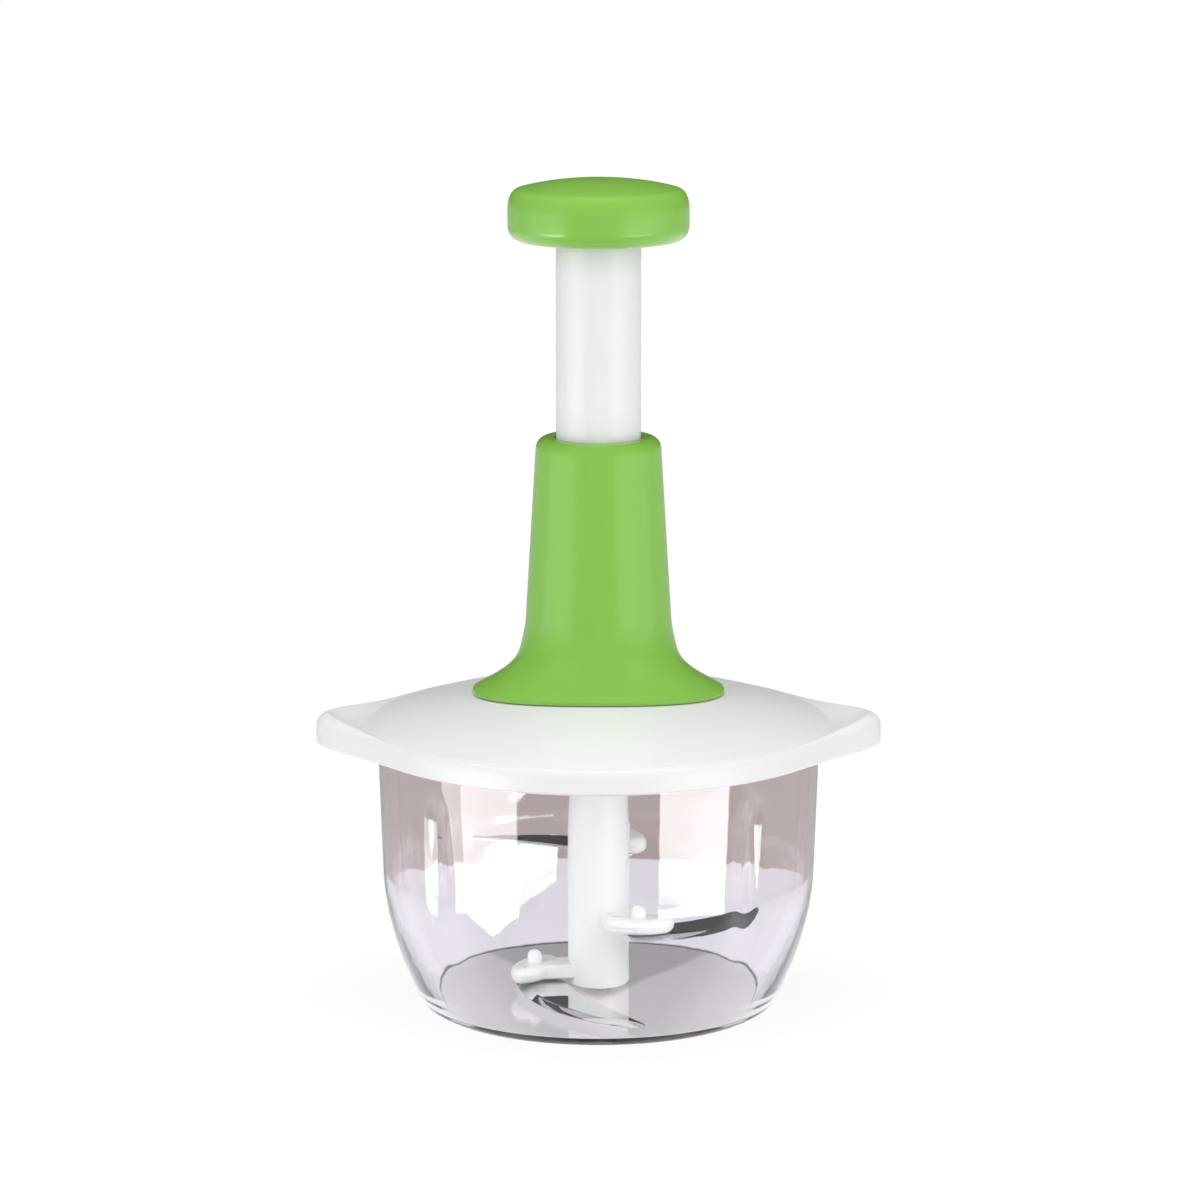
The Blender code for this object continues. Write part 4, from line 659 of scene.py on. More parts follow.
def make_column():
    """A round column, hollow at the foot, with a neck that tapers to the shoulder."""
    low = span("blade_column")[0]
    neck = COLUMN_SHOULDER_Z - COLUMN_NECK_LENGTH
    bush = span("column_bush")
    bore, bore_top = bush[1][0] + GAP, bush[1][2] + GAP
    profile = outline([(COLUMN_BORE_POLE_RADIUS, bore_top, 0), (bore, bore_top, CRISP),
                       (bore, low[2], FINE), (COLUMN_RADIUS, low[2], ROUND),
                       (COLUMN_RADIUS, neck, COLUMN_NECK_FILLET),
                       (COLUMN_NECK_RADIUS, COLUMN_SHOULDER_Z, COLUMN_SHOULDER_FILLET),
                       (COLUMN_TOP_POLE_RADIUS, COLUMN_SHOULDER_Z, 0)], steps=8)
    dress(skin("column_round", revolve(profile, MEDIUM_COLUMNS)), "blade_rotor", "white_plastic",
          "blade_column", material=ACETAL_WITH_PAINTED_LIGHT)


def make_hexagon_head():
    """A rounded hexagon, carried up from the shoulder and shrunk at the top for its chamfer."""
    top = span("blade_column")[1][2]
    corner = HEXAGON_APOTHEM / math.cos(math.pi / 6)
    corners = [(*polar(corner, 60 * i), SOFT) for i in range(6)]
    section = outline(corners, closed=True, steps=5)
    rise = np.array([COLUMN_SHOULDER_Z - HEXAGON_ROOT, COLUMN_SHOULDER_Z - HEXAGON_ROOT / 2,
                     top - HEXAGON_CHAMFER - CRISP, top - HEXAGON_CHAMFER, top - HEXAGON_FACE_FALL, top])
    shrink = np.array(HEXAGON_TAPER_SHARES)[:, None, None]
    flat = section[None] * shrink
    head = np.concatenate([flat, np.broadcast_to(rise[:, None, None], (*flat.shape[:2], 1))], axis=-1)
    dress(skin("hexagon_head", head), "blade_rotor", "white_plastic", material=ACETAL_WITH_PAINTED_LIGHT)


# Lid


def ear_share(angle):
    """exp(-(angle from the X axis / spread)^power): 1 in the middle of an ear, 0 between them."""
    away = np.abs((np.degrees(angle) + 90) % 180 - 90)
    return np.exp(-((away / EAR_ANGLE) ** EAR_POWER))


def lid_edge(angle):
    """The radius of the lid's edge, which swells to the tip of each ear by the ear's share."""
    return LID_RADIUS + (EAR_TIP - LID_RADIUS) * ear_share(angle)


def dome_z(radius):
    """A shallow cone with a sine bulge between its foot and the tower."""
    share = np.clip((DOME_RADIUS - radius) / (DOME_RADIUS - TOWER_BASE_Y), 0, 1)
    return (RIM_Z + DOME_FOOT_RISE + DOME_SLOPE * (DOME_RADIUS - radius)
            + DOME_BULGE * np.sin(math.pi * share))


def lid_outside(a):
    """Rows (radius, height) round the lid's outside: wall, rounded rim, gutter and dome."""
    ear, edge = ear_share(a), lid_edge(a)
    rim_top = RIM_Z + EAR_RISE * ear
    crest_round = LID_RIM_ROUND + EAR_ROUND * ear
    crest_inset = LID_CREST_INSET + EAR_CREST * ear
    rows = []
    for t in np.linspace(0, 1, 5) * math.pi / 2:
        rows.append((edge - ROUND + ROUND * np.sin(t), SKIRT_Z + ROUND - ROUND * np.cos(t) + 0 * a))
    for share in np.linspace(0.08, 0.96, 6):
        rows.append((edge, SKIRT_Z + ROUND + (rim_top - crest_round - SKIRT_Z - ROUND) * share))
    for t in np.linspace(0, 1, 12) * math.pi / 2:
        rows.append((edge - crest_inset * (1 - np.cos(t)), rim_top - crest_round * (1 - np.sin(t))))
    foot = DOME_RADIUS - GUTTER_WIDTH
    crest = edge - crest_inset
    foot_z = dome_z(foot)
    for share in np.linspace(0.94, 0.04, GUTTER_ROWS):
        dip = (GUTTER_DEPTH + EAR_GUTTER_DEPTH * ear) * math.sin(math.pi * share)
        rows.append((foot + (crest - foot) * share, rim_top * share + foot_z * (1 - share) - dip))
    for radius in np.linspace(foot, DECK_RADIUS + SOFT, DOME_ROWS):
        rows.append((radius + 0 * a, dome_z(radius) + 0 * a))
    return rows


def lid_underside(a):
    """Rows round the lid's underside: deck, slope, landing, seat, skirt and the pocket in each ear."""
    under = DECK_Z - DECK_THICKNESS
    slope = np.linspace(DECK_RADIUS + LID_WALL, LANDING_RADIUS, 16)
    low = outline([(DECK_RADIUS, dome_z(DECK_RADIUS), 0), (DECK_RADIUS, DECK_Z, CRISP),
                   (BUSH_HOLE_RADIUS, DECK_Z, FINE), (BUSH_HOLE_RADIUS, under, FINE),
                   (DECK_RADIUS + LID_WALL - SOFT, under, 0)], steps=4)
    inner = outline([(LANDING_RADIUS, dome_z(LANDING_RADIUS) - LID_WALL, 0),
                     (LANDING_RADIUS, SEAT_Z, FINE), (SKIRT_RADIUS, SEAT_Z, FINE),
                     (SKIRT_RADIUS, SKIRT_Z, FINE), (SKIRT_RADIUS + SOFT, SKIRT_Z, 0)], steps=4)
    profile = np.vstack([low, np.stack([slope, dome_z(slope) - LID_WALL], axis=-1), inner])
    rows = [(r + 0 * a, z + 0 * a) for r, z in profile]
    wide = lid_edge(a) - LID_WALL - LID_RADIUS
    open_share = smooth(wide / POCKET_FADE)
    inside = SKIRT_RADIUS + POCKET_WALL + (LID_RADIUS - SKIRT_RADIUS - POCKET_WALL) * open_share
    outside = inside + POCKET_SLIT + np.clip(wide, 0, None) * open_share
    roof = SKIRT_Z + POCKET_SEAM + (POCKET_ROOF - SKIRT_Z) * open_share
    for radius, share in ((inside, 0.0), (inside, 0.3), (inside, 0.9), (inside + POCKET_DRAFT, 1.0),
                          (outside - POCKET_DRAFT, 1.0), (outside, 0.9), (outside, 0.3),
                          (outside, 0.0)):
        rows.append((radius, SKIRT_Z + (roof - SKIRT_Z) * share))
    return rows


def make_lid():
    """The rows of the outside and the underside, joined into one loop."""
    a = turns(FINE_COLUMNS * 2)
    rows = lid_outside(a) + lid_underside(a)
    radius = np.stack([row[0] for row in rows])
    z = np.stack([row[1] for row in rows])
    grid = np.stack([radius * np.cos(a), radius * np.sin(a), z], axis=-1)
    dress(skin("lid_moulding", grid, loop=True), "lid", "white_plastic", "lid_shell")


def make_cover():
    """A plate with a hub under it, and a round wall with the seal's groove."""
    low, high = span("mechanism_cover")
    seal_low, seal_high = span("seal_ring")
    outer, inner = high[0], high[0] - COVER_WALL
    plate, plate_top = COVER_PLATE_Z, COVER_PLATE_Z + COVER_PLATE_THICKNESS
    rim_low = plate - COVER_RIM_DROP
    groove = outer - COVER_GROOVE
    groove_low, groove_high = seal_low[2] - GAP, seal_high[2] + GAP
    profile = outline([(inner, plate_top, ROUND), (inner, high[2], EASED), (outer, high[2], EASED),
                       (outer, groove_high, HAIR), (groove, groove_high, 0), (groove, groove_low, 0),
                       (outer, groove_low, HAIR), (outer, rim_low, FINE), (inner, rim_low, FINE),
                       (inner - COVER_RIM_DROP, plate, HAIR), (COVER_HUB_RADIUS, plate, SOFT),
                       (COVER_HUB_RADIUS, low[2], EASED), (COVER_HUB_BORE, low[2], FINE),
                       (COVER_HUB_BORE, plate_top, CRISP)], closed=True, steps=4)
    dress(skin("cover_moulding", revolve(profile, FINE_COLUMNS), loop=True), "lid", "white_plastic",
          "mechanism_cover")


def make_seal():
    """A ring in the cover's groove, with two lips that stand out and a cleft between them."""
    low, high = span("seal_ring")
    outer, reach = span("mechanism_cover")[1][0], high[0]
    inner, middle = outer - COVER_GROOVE + GAP, (low[2] + high[2]) / 2
    seal = outline([(inner, high[2], HAIR), (outer, high[2], HAIR), (reach, middle + SEAL_LIP, CRISP),
                    (outer, middle + SEAL_CLEFT, HAIR), (outer, middle - SEAL_CLEFT, HAIR),
                    (reach, middle - SEAL_LIP, CRISP), (outer, low[2], HAIR), (inner, low[2], HAIR)],
                   closed=True, steps=4)
    dress(skin("seal_two_lips", revolve(seal, FINE_COLUMNS), loop=True), "lid", "silicone",
          "seal_ring")


# Tower


def shaft_radius(z):
    """The tapered shaft, which swells smoothly where it runs into the flare."""
    swell = smooth(0.5 - (z - DECK_Z - TOWER_NECK_RISE) / TOWER_NECK_BLEND / 2)
    return TOWER_TOP_RADIUS + TOWER_TAPER * (TOWER_TOP_Z - z) + TOWER_NECK_SWELL * swell


def oval(half_x, half_y, a):
    """The x and y of an ellipse with the given half axes."""
    return half_x * np.cos(a), half_y * np.sin(a)


def flare_row(share, inset, lift, a):
    """A row of the flare: what it adds to the shaft shrinks to the neck as (1 - share)^power, and its
    height runs from the dome under it to the level neck."""
    neck_z = DECK_Z + TOWER_NECK_RISE
    foot = shaft_radius(DECK_Z)
    shaft = shaft_radius(DECK_Z + TOWER_NECK_RISE * share)
    spreading = (1 - share) ** FLARE_POWER
    x, y = oval(shaft + (TOWER_BASE_X - TOWER_BASE_ROUND - foot) * spreading - inset,
                shaft + (TOWER_BASE_Y - TOWER_BASE_ROUND - foot) * spreading - inset, a)
    base = dome_z(np.hypot(x, y)) + GAP + lift
    return x, y, base * (1 - share) + neck_z * share


def base_row(inset, lift, a):
    """A row of the foot's band: an ellipse that follows the dome under it at a lift."""
    x, y = oval(TOWER_BASE_X - inset, TOWER_BASE_Y - inset, a)
    return x, y, dome_z(np.hypot(x, y)) + GAP + lift


def make_tower():
    """Rows from the foot's band up the flare and the shaft, over the rounded top, in at the mouth and
    down the inside to the foot again."""
    a = turns(FINE_COLUMNS)
    neck_z = DECK_Z + TOWER_NECK_RISE
    rows = [base_row(TOWER_FOOT_ROUND, 0.0, a), base_row(TOWER_FOOT_EASE, TOWER_FOOT_EASE, a),
            base_row(0.0, TOWER_FOOT_ROUND, a)]
    rows += [base_row(0.0, lift, a) for lift in TOWER_BAND_LIFTS]
    corner = TOWER_BASE_ROUND
    for t in np.linspace(0, 1, 6) * math.pi / 2:
        rows.append(base_row(corner * (1 - np.cos(t)), TOWER_BASE_BAND - corner * (1 - np.sin(t)), a))
    shares = np.linspace(FLARE_START_SHARE, 1, FLARE_ROWS) ** FLARE_ROW_CROWDING
    rows += [flare_row(share, 0.0, TOWER_BASE_BAND, a) for share in shares]
    start = TOWER_TOP_Z - TOWER_TOP_ROUND
    for z in np.linspace(neck_z + 2 * TOWER_ROW_GAP, start - TOWER_ROW_GAP, SHAFT_ROWS):
        rows.append((*oval(shaft_radius(z), shaft_radius(z), a), z + 0 * a))
    middle = float(shaft_radius(start)) - TOWER_TOP_ROUND
    lip_z = TOWER_TOP_Z - TOWER_LIP
    inner = float(shaft_radius(lip_z)) - TOWER_WALL
    top = [(middle + TOWER_TOP_ROUND * math.cos(t), start + TOWER_TOP_ROUND * math.sin(t))
           for t in np.linspace(0, 1, 12) * math.pi / 2]
    lip = outline([(middle, TOWER_TOP_Z, 0), (TOWER_MOUTH_RADIUS, TOWER_TOP_Z, SOFT),
                   (TOWER_MOUTH_RADIUS, lip_z, CRISP), (inner, lip_z, 0)], steps=5)
    rows += [(*oval(r, r, a), z + 0 * a) for r, z in top + lip[1:].tolist()]
    for z in np.linspace(lip_z - EASED, neck_z, HOLLOW_ROWS):
        hollow = shaft_radius(z) - TOWER_WALL
        rows.append((*oval(hollow, hollow, a), z + 0 * a))
    rows += [flare_row(share, TOWER_WALL, 0.0, a) for share in np.linspace(0.97, 0.02, HOLLOW_ROWS)]
    rows.append(base_row(TOWER_WALL, 0.0, a))
    grid = np.stack([np.stack(row, axis=-1) for row in rows])
    dress(skin("tower_moulding", grid, loop=True), "lid", "green_plastic", "tower_housing")


def make_collar():
    """A plain ring that guides the plunger in the tower's mouth."""
    low, high = span("guide_collar")
    collar = outline([(high[0], high[2], CRISP), (high[0], low[2], CRISP),
                      (TOWER_MOUTH_RADIUS, low[2], FINE), (TOWER_MOUTH_RADIUS, high[2], FINE)],
                     closed=True, steps=4)
    dress(skin("guide_collar_turned", revolve(collar, MEDIUM_COLUMNS), loop=True), "lid", "nylon",
          "guide_collar")


# Plunger and knob


def make_plunger():
    """The tube with a flange at its foot, a bore that narrows above the nut, and a closed top with a
    hole for the knob's screw."""
    low, high = span("plunger_tube")
    flange, foot = high[0], low[2] + PLUNGER_FLANGE
    shoulder = span("twist_nut")[1][2] + GAP
    web, narrow = high[2] - PLUNGER_WEB, PLUNGER_BORE - PLUNGER_BORE_STEP
    profile = outline([(SCREW_HOLE_RADIUS, high[2], CRISP), (PLUNGER_RADIUS, high[2], SOFT),
                       (PLUNGER_RADIUS, foot, EASED), (flange, foot, FINE), (flange, low[2], EASED),
                       (PLUNGER_BORE, low[2], EASED), (PLUNGER_BORE, shoulder, CRISP),
                       (narrow, shoulder, CRISP), (narrow, web, SOFT), (SCREW_HOLE_RADIUS, web, CRISP)],
                      closed=True)
    dress(skin("plunger_sleeve", revolve(profile, MEDIUM_COLUMNS), loop=True), "plunger",
          "white_plastic", "plunger_tube")


def make_knob():
    """A low drum: a face crowned as a power of the radius, an oval shoulder and heel, and a hollow
    underside with a socket for the tube."""
    low, high = span("press_knob")
    base_high = span("knob_base")[1]
    radius = high[0]
    face = radius - KNOB_RIM_WIDTH
    crown = np.linspace(KNOB_POLE_RADIUS, face, KNOB_CROWN_ROWS)
    top = high[2] - KNOB_CROWN * (crown / face) ** KNOB_CROWN_POWER
    t = np.linspace(KNOB_EDGE_SHARE, 1, KNOB_ARC_ROWS) * math.pi / 2
    rim = np.stack([face + (radius - face) * np.sin(t),
                    top[-1] - KNOB_EDGE_DROP - KNOB_SHOULDER * (1 - np.cos(t))], axis=-1)
    side_low = low[2] + KNOB_HEEL
    t = np.linspace(0, 1, KNOB_ARC_ROWS) * math.pi / 2
    foot = np.stack([radius - KNOB_HEEL * (1 - np.cos(t)), side_low - KNOB_HEEL * np.sin(t)], axis=-1)
    floor, base_top = base_high[0] + GAP, base_high[2] + GAP
    hollow, ceiling = radius - KNOB_WALL, high[2] - KNOB_CEILING
    tube_top = span("plunger_tube")[1][2] + GAP
    under = outline([(radius - KNOB_HEEL - KNOB_HEEL_STEP, low[2], 0), (floor, low[2], CRISP),
                     (floor, base_top, CRISP), (hollow, base_top + KNOB_LEDGE, SOFT),
                     (hollow, ceiling - KNOB_WALL, SOFT), (radius - 2 * KNOB_WALL, ceiling, SOFT),
                     (KNOB_SOCKET_RADIUS, ceiling, SOFT), (KNOB_SOCKET_RADIUS, base_top, FINE),
                     (KNOB_SOCKET_BORE, base_top, FINE), (KNOB_SOCKET_BORE, tube_top, FINE),
                     (SCREW_HOLE_RADIUS, tube_top, CRISP),
                     (SCREW_HOLE_RADIUS, tube_top + KNOB_SCREW_DEPTH, 0)], steps=4)
    profile = np.vstack([np.stack([crown, top], axis=-1), rim, foot, under])
    dress(skin("knob_moulding", revolve(profile, FINE_COLUMNS)), "plunger", "green_plastic",
          "press_knob")


def make_knob_base():
    """A plain ring that closes the knob from below, round the tube."""
    low, high = span("knob_base")
    ring = outline([(high[0], high[2], CRISP), (high[0], low[2], FINE),
                    (KNOB_SOCKET_BORE, low[2], FINE), (KNOB_SOCKET_BORE, high[2], CRISP)],
                   closed=True, steps=4)
    dress(skin("knob_base_turned", revolve(ring, FINE_COLUMNS), loop=True), "plunger",
          "green_plastic", "knob_base")


# Springs


def make_spring(node, body, wire, coils, closed_coils):
    """A wound wire: a circle of wire carried along a helix whose pitch is closed at both ends, with
    the circle's plane square to the helix. A spring that a joint of the record deforms gets a mesh of
    its own."""
    low, high = span(node)
    radius = high[0] - wire
    t = np.linspace(0, 1, int(coils * SPRING_STATIONS_PER_TURN))
    opening, closing = (smooth(share * coils / closed_coils - SPRING_CLOSED_HOLD) for share in (t, 1 - t))
    pitch = opening * closing + SPRING_CLOSED_PITCH
    climb = np.concatenate([[0.0], np.cumsum((pitch[1:] + pitch[:-1]) / 2)])
    z = low[2] + wire + (high[2] - low[2] - 2 * wire) * climb / climb[-1]
    turn = math.tau * coils * t
    path = np.stack([radius * np.cos(turn), radius * np.sin(turn), z], axis=-1)
    ahead = np.gradient(path, axis=0)
    ahead /= np.linalg.norm(ahead, axis=1)[:, None]
    out = np.stack([np.cos(turn), np.sin(turn), 0 * turn], axis=-1)
    up = np.cross(ahead, out)
    round_wire = turns(SPRING_WIRE_COLUMNS)
    grid = (path[:, None] + wire * (out[:, None] * np.cos(round_wire)[None, :, None]
                                    + up[:, None] * np.sin(round_wire)[None, :, None]))
    piece = dress(skin(node + "_wound", grid), body, "spring_steel", node)
    for joint in frame["record"]["behaviour"]["joints"]:
        for held in joint.get("deforming_nodes", []):
            if held["node"] == node:
                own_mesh(piece)


# Studio
SENSOR_WIDTH = 36.0
PHOTO_WIDTH_PX = 1200
FOCAL_LENGTH_PX = 4541.635
CENTRE_SHIFT_PX = 1.5
CAMERA_PLACE = (0.0, -1.312637, 0.373937)
CAMERA_PITCH = 0.19042

# What the clear wall shows of the floor: a lilac-white table to a hand's width behind the object, a
# warmer grey beyond it, a darker one near the camera, and under the bowl a painted shadow, with a
# V of darker painted shade behind the column. Rings are in millimetres, and the edges between which
# a tone begins are in metres.
FLOOR_RINGS = (0.02, 400.0, 4000.0)
FLOOR_COLUMNS = 96
FLOOR_DROP = 0.15
FLOOR_THICKNESS = 10.0
TABLE_TONE = "#EAE6ED"
FAR_TONE = "#B5A8A4"
NEAR_TONE = "#A09B9B"
# Painted shadow under the bowl, as the clear wall shows the floor there
FOOT_SHADOW_TONE = "#E2DEE2"
# Painted shade in a V behind the column, darker than the painted shadow under the bowl
SHADED_TONE = "#BEBABE"
FAR_EDGE = (0.1630, 0.1655)
NEAR_EDGE = (-0.11, -0.16)
# Distances from the axis, in metres, between which the painted shadow under the bowl begins
FOOT_SHADOW_EDGE = (0.0550, 0.0535)
# The edges and slope of the V of painted shade behind the column
SHADED_EDGE = (-0.015, -0.009)
SHADED_SLOPE = 1.4
OPEN_FLOOR_EDGE = (0.20, 0.70)
OPEN_FLOOR_SHARES = (0.82, 1.0)

# What gloss and glass see in front: a bright window low on each side, with a dimmer strip beside the
# left one, a tall window on the right that only glass shows, and a dim pane above on each side. Each
# has its glow, whether only glass shows it, and its corners, counter-clockwise, as degrees of azimuth
# from the front and the sine of the elevation.
WINDOW_BLUR = 0.008
WINDOWS = (
    (11.0, False, ((-76.0, -0.320), (-61.0, -0.470), (-43.0, -0.310), (-43.0, -0.240), (-78.0, -0.240))),
    (5.0, False, ((-90.0, -0.330), (-76.0, -0.330), (-78.0, -0.240), (-90.0, -0.240))),
    (12.0, False, ((32.0, -0.318), (72.0, -0.324), (72.0, -0.240), (32.0, -0.240))),
    (12.0, True, ((32.0, -0.240), (72.0, -0.240), (72.0, 0.37), (60.0, 0.37), (26.0, 0.27), (23.0, 0.05))),
    (1.0, False, ((-97.0, -0.220), (-41.0, -0.220), (-41.0, 0.10), (-97.0, 0.10))),
    (1.0, False, ((30.0, -0.220), (94.0, -0.220), (94.0, 0.10), (30.0, 0.10))),
)

# The room round the windows, as linear light. An edge gives the parts of the direction between which
# a light begins: Y for the front, Z for what gloss sees below, and each part for the dark screen.
EVEN_LIGHT = (0.53, 0.53, 0.53, 1)
ROOM_IN_GLASS = (0.55, 0.53, 0.53, 1)
GLOSS_ABOVE = (0.04, 0.04, 0.04, 1)
GLOSS_BELOW = (0.55, 0.55, 0.56, 1)
GLOSS_LOW = (1.4, 1.35, 1.45, 1)
FRONT_DARK = (0.05, 0.05, 0.05, 1)
SCREEN_DARK = (0.02, 0.02, 0.022, 1)
FRONT_EDGE = (-0.05, -0.35)
BELOW_EDGE = (0.0, -0.06)
LOW_EDGE = (-0.24, -0.36)
SCREEN_SIDES = (("Y", 0.5, 0.6), ("Z", 0.20, 0.22), ("Z", 0.85, 0.75), ("X", -0.55, -0.45),
                ("X", 0.55, 0.45))

# The point that all lamps look at, and each lamp's name, place and width in metres and power in watts
LAMP_AIM = (0.0, 0.0, 0.1)
LAMPS = (("lamp_left", (-1.2, -0.8, 0.8), 0.9, 8.6),
         ("lamp_right", (1.25, -0.75, 0.8), 0.9, 9.2),
         ("lamp_front", (0.0, -1.7, 0.25), 0.8, 4.1),
         ("lamp_top", (0.0, 0.0, 1.8), 1.2, 17.0))


def make_camera():
    """The photograph's camera, worked out from the ellipses of the lid, knob, floor and foot."""
    data = bpy.data.cameras.new("camera")
    data.sensor_width = SENSOR_WIDTH
    data.lens = SENSOR_WIDTH * FOCAL_LENGTH_PX / PHOTO_WIDTH_PX
    data.shift_x = CENTRE_SHIFT_PX / PHOTO_WIDTH_PX
    camera = bpy.data.objects.new("camera", data)
    camera.location = CAMERA_PLACE
    camera.rotation_euler = (math.pi / 2 - CAMERA_PITCH, 0.0, 0.0)
    bpy.context.scene.collection.objects.link(camera)
    bpy.context.scene.camera = camera


def make_floor():
    """A pale floor that is white to the camera, with a soft shadow, and shows the clear wall its own
    tones: they go by the distance from the axis and by Y, with a painted shadow under the bowl and a
    V of painted shade behind the column, by Y - slope * |X|."""
    profile = np.array([(radius, -FLOOR_DROP) for radius in FLOOR_RINGS])
    grid = revolve(profile, FLOOR_COLUMNS)
    floor = skin("floor", np.vstack([grid, grid[::-1] - (0, 0, FLOOR_THICKNESS)]))
    made = bpy.data.materials.new("floor_pale_paper_painted_shade")
    made.use_nodes = True
    tree = made.node_tree
    tree.nodes.remove(tree.nodes["Principled BSDF"])
    place = add(tree, "TexCoord").outputs["Object"]
    away = add(tree, "VectorMath", None, {0: place}, operation="LENGTH")
    far = add(tree, "MapRange", between(*FAR_EDGE), {0: away.outputs["Value"]})
    table = add(tree, "Mix", {6: linear(TABLE_TONE), 7: linear(FAR_TONE)},
                {0: far.outputs[0]}, data_type="RGBA")
    part = add(tree, "SeparateXYZ", None, {0: place}).outputs
    # The V of painted shade behind the column: where Y - slope * |X| passes its edge
    aside = add(tree, "Math", None, {0: part["X"]}, operation="ABSOLUTE")
    behind = add(tree, "Math", {1: -SHADED_SLOPE}, {0: aside.outputs[0], 2: part["Y"]},
                 operation="MULTIPLY_ADD")
    shade = add(tree, "MapRange", between(*SHADED_EDGE), {0: behind.outputs[0]})
    # Under the bowl: the painted shadow, with the painted shade behind the column mixed in
    foot = add(tree, "Mix", {6: linear(FOOT_SHADOW_TONE), 7: linear(SHADED_TONE)},
               {0: shade.outputs[0]}, data_type="RGBA")
    # Where the painted shadow under the bowl begins, by the distance from the axis
    under = add(tree, "MapRange", between(*FOOT_SHADOW_EDGE), {0: away.outputs["Value"]})
    table = add(tree, "Mix", None,
                {0: under.outputs[0], 6: table.outputs[2], 7: foot.outputs[2]}, data_type="RGBA")
    near = add(tree, "MapRange", between(*NEAR_EDGE), {0: part["Y"]})
    table = add(tree, "Mix", {7: linear(NEAR_TONE)},
                {0: near.outputs[0], 6: table.outputs[2]}, data_type="RGBA")
    ray = add(tree, "LightPath").outputs
    seen = add(tree, "Mix", {6: (1, 1, 1, 1)},
               {0: ray["Is Transmission Ray"], 7: table.outputs[2]}, data_type="RGBA")
    open_floor = add(tree, "MapRange",
                     {**between(*OPEN_FLOOR_EDGE), 3: OPEN_FLOOR_SHARES[0], 4: OPEN_FLOOR_SHARES[1]},
                     {0: away.outputs["Value"]})
    direct = add(tree, "Math", None, {0: open_floor.outputs[0], 1: ray["Is Camera Ray"]},
                 operation="MULTIPLY")
    share = add(tree, "Math", None, {0: direct.outputs[0], 1: ray["Is Transmission Ray"]},
                operation="MAXIMUM")
    lit = add(tree, "BsdfDiffuse", {"Color": (0.9, 0.9, 0.9, 1)})
    shown = add(tree, "Emission", {"Strength": 1.0}, {"Color": seen.outputs[2]})
    both = add(tree, "MixShader", None, {0: share.outputs[0], 1: lit.outputs[0], 2: shown.outputs[0]})
    tree.links.new(both.outputs[0], tree.nodes["Material Output"].inputs["Surface"])
    floor.data.materials.append(made)
    floor.visible_glossy = False


def make_window(tree, place, glow, corners):
    """The glow inside a convex outline: a product of soft steps, one along each of its sides."""
    shown = None
    for i, (azimuth, z) in enumerate(corners):
        ahead = corners[(i + 1) % len(corners)]
        along, up = math.radians(ahead[0] - azimuth), ahead[1] - z
        length = math.hypot(along, up)
        across = (-up / length, along / length, (up * math.radians(azimuth) - along * z) / length)
        side = add(tree, "VectorMath", {1: across}, {0: place}, operation="DOT_PRODUCT")
        step = add(tree, "MapRange", between(-WINDOW_BLUR, WINDOW_BLUR), {0: side.outputs["Value"]})
        if shown:
            step = add(tree, "Math", None, {0: shown.outputs[0], 1: step.outputs[0]},
                       operation="MULTIPLY")
        shown = step
    return add(tree, "Math", {1: glow}, {0: shown.outputs[0]}, operation="MULTIPLY")


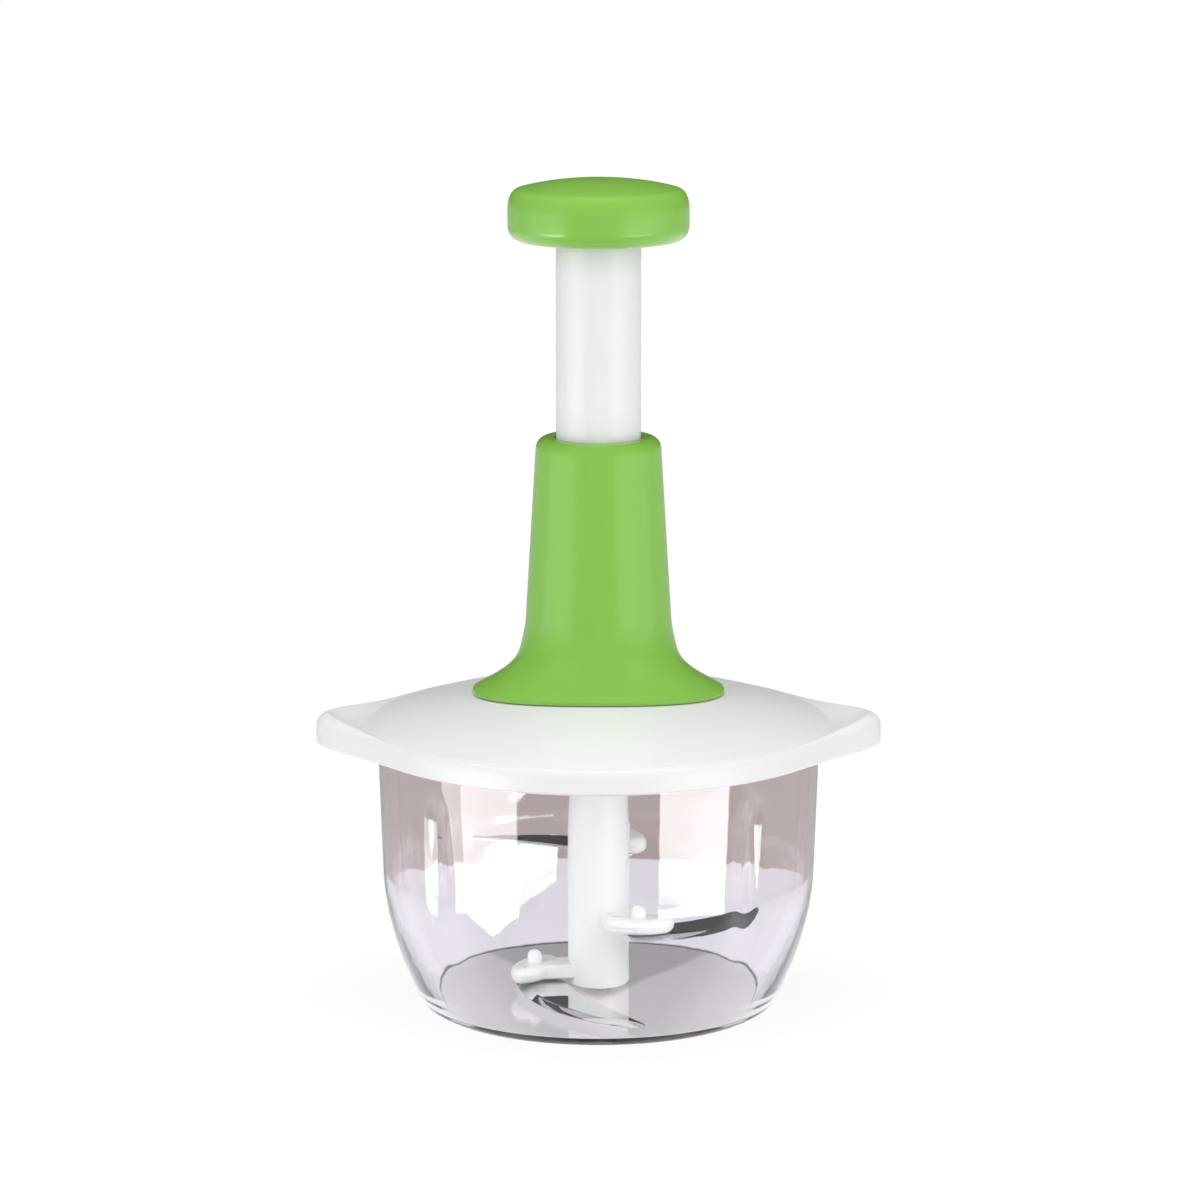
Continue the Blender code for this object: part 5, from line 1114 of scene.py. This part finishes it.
def make_world():
    """White to the camera, an even light on diffuse surfaces, and for gloss and glass the windows in
    a room that is dark in front and has a dark screen behind the object for the blades. Gloss sees
    the rest of the room dark above the horizon and bright below it."""
    world = bpy.data.worlds.new("studio")
    bpy.context.scene.world = world
    world.use_nodes = True
    tree = world.node_tree
    tree.nodes.clear()
    ray = add(tree, "LightPath").outputs
    way = add(tree, "TexCoord").outputs["Generated"]
    part = add(tree, "SeparateXYZ", None, {0: way}).outputs
    front = add(tree, "Math", {1: -1.0}, {0: part["Y"]}, operation="MULTIPLY")
    azimuth = add(tree, "Math", None, {0: part["X"], 1: front.outputs[0]}, operation="ARCTAN2")
    place = add(tree, "CombineXYZ", {2: 1.0}, {0: azimuth.outputs[0], 1: part["Z"]})
    glow = None
    for strength, glass_only, corners in WINDOWS:
        window = make_window(tree, place.outputs[0], strength, corners)
        if glass_only:
            window = add(tree, "Math", None,
                         {0: window.outputs[0], 1: ray["Is Transmission Ray"]}, operation="MULTIPLY")
        if glow:
            window = add(tree, "Math", None, {0: glow.outputs[0], 1: window.outputs[0]}, operation="ADD")
        glow = window
    ahead = add(tree, "MapRange", between(*FRONT_EDGE), {0: part["Y"]})
    below = add(tree, "MapRange", between(*BELOW_EDGE), {0: part["Z"]})
    mirrored = add(tree, "Mix", {6: GLOSS_ABOVE, 7: GLOSS_BELOW}, {0: below.outputs[0]}, data_type="RGBA")
    low = add(tree, "MapRange", between(*LOW_EDGE), {0: part["Z"]})
    mirrored = add(tree, "Mix", {7: GLOSS_LOW}, {0: low.outputs[0], 6: mirrored.outputs[2]},
                   data_type="RGBA")
    around = add(tree, "Mix", {7: ROOM_IN_GLASS},
                 {0: ray["Is Transmission Ray"], 6: mirrored.outputs[2]}, data_type="RGBA")
    room = add(tree, "Mix", {7: FRONT_DARK}, {0: ahead.outputs[0], 6: around.outputs[2]}, data_type="RGBA")
    screen = None
    for side, start, end in SCREEN_SIDES:
        step = add(tree, "MapRange", between(start, end), {0: part[side]})
        if screen:
            step = add(tree, "Math", None, {0: screen.outputs[0], 1: step.outputs[0]},
                       operation="MULTIPLY")
        screen = step
    room = add(tree, "Mix", {7: SCREEN_DARK}, {0: screen.outputs[0], 6: room.outputs[2]}, data_type="RGBA")
    lights = add(tree, "Mix", {0: 1.0}, {6: room.outputs[2], 7: glow.outputs[0]},
                 data_type="RGBA", blend_type="ADD")
    gloss = add(tree, "Math", None,
                {0: ray["Is Glossy Ray"], 1: ray["Is Transmission Ray"]}, operation="MAXIMUM")
    light = add(tree, "Mix", {6: EVEN_LIGHT}, {0: gloss.outputs[0], 7: lights.outputs[2]},
                data_type="RGBA")
    seen = add(tree, "Mix", {7: (1, 1, 1, 1)},
               {0: ray["Is Camera Ray"], 6: light.outputs[2]}, data_type="RGBA")
    shown = add(tree, "Background", {"Strength": 1.0}, {"Color": seen.outputs[2]})
    out = add(tree, "OutputWorld", None, {"Surface": shown.outputs[0]})
    out.is_active_output = True


def make_lamps():
    """Large soft lamps: front left, front right, low in front for the inside of the bowl, and above.
    Gloss and glass see the windows instead."""
    for name, place, size, power in LAMPS:
        data = bpy.data.lights.new(name, "AREA")
        data.shape = "SQUARE"
        data.size = size
        data.energy = power
        lamp = bpy.data.objects.new(name, data)
        lamp.location = place
        aim = np.array(place) - LAMP_AIM
        level = math.hypot(aim[0], aim[1])
        lamp.rotation_euler = (math.atan2(level, aim[2]), 0.0, math.atan2(aim[0], -aim[1]))
        lamp.visible_glossy = False
        lamp.visible_transmission = False
        bpy.context.scene.collection.objects.link(lamp)


make_camera()
bpy.context.scene.view_settings.view_transform = "Standard"
dress_frame_nodes()
make_bowl()
for blade in BLADE_SWEEPS:
    make_blade(blade)
    make_pin(blade)
    make_arm_pad(blade)
    make_arm_web(blade)
make_column()
make_hexagon_head()
make_lid()
make_cover()
make_seal()
make_tower()
make_collar()
make_plunger()
make_knob()
make_knob_base()
for spring in SPRINGS:
    make_spring(*spring)
make_floor()
make_world()
make_lamps()
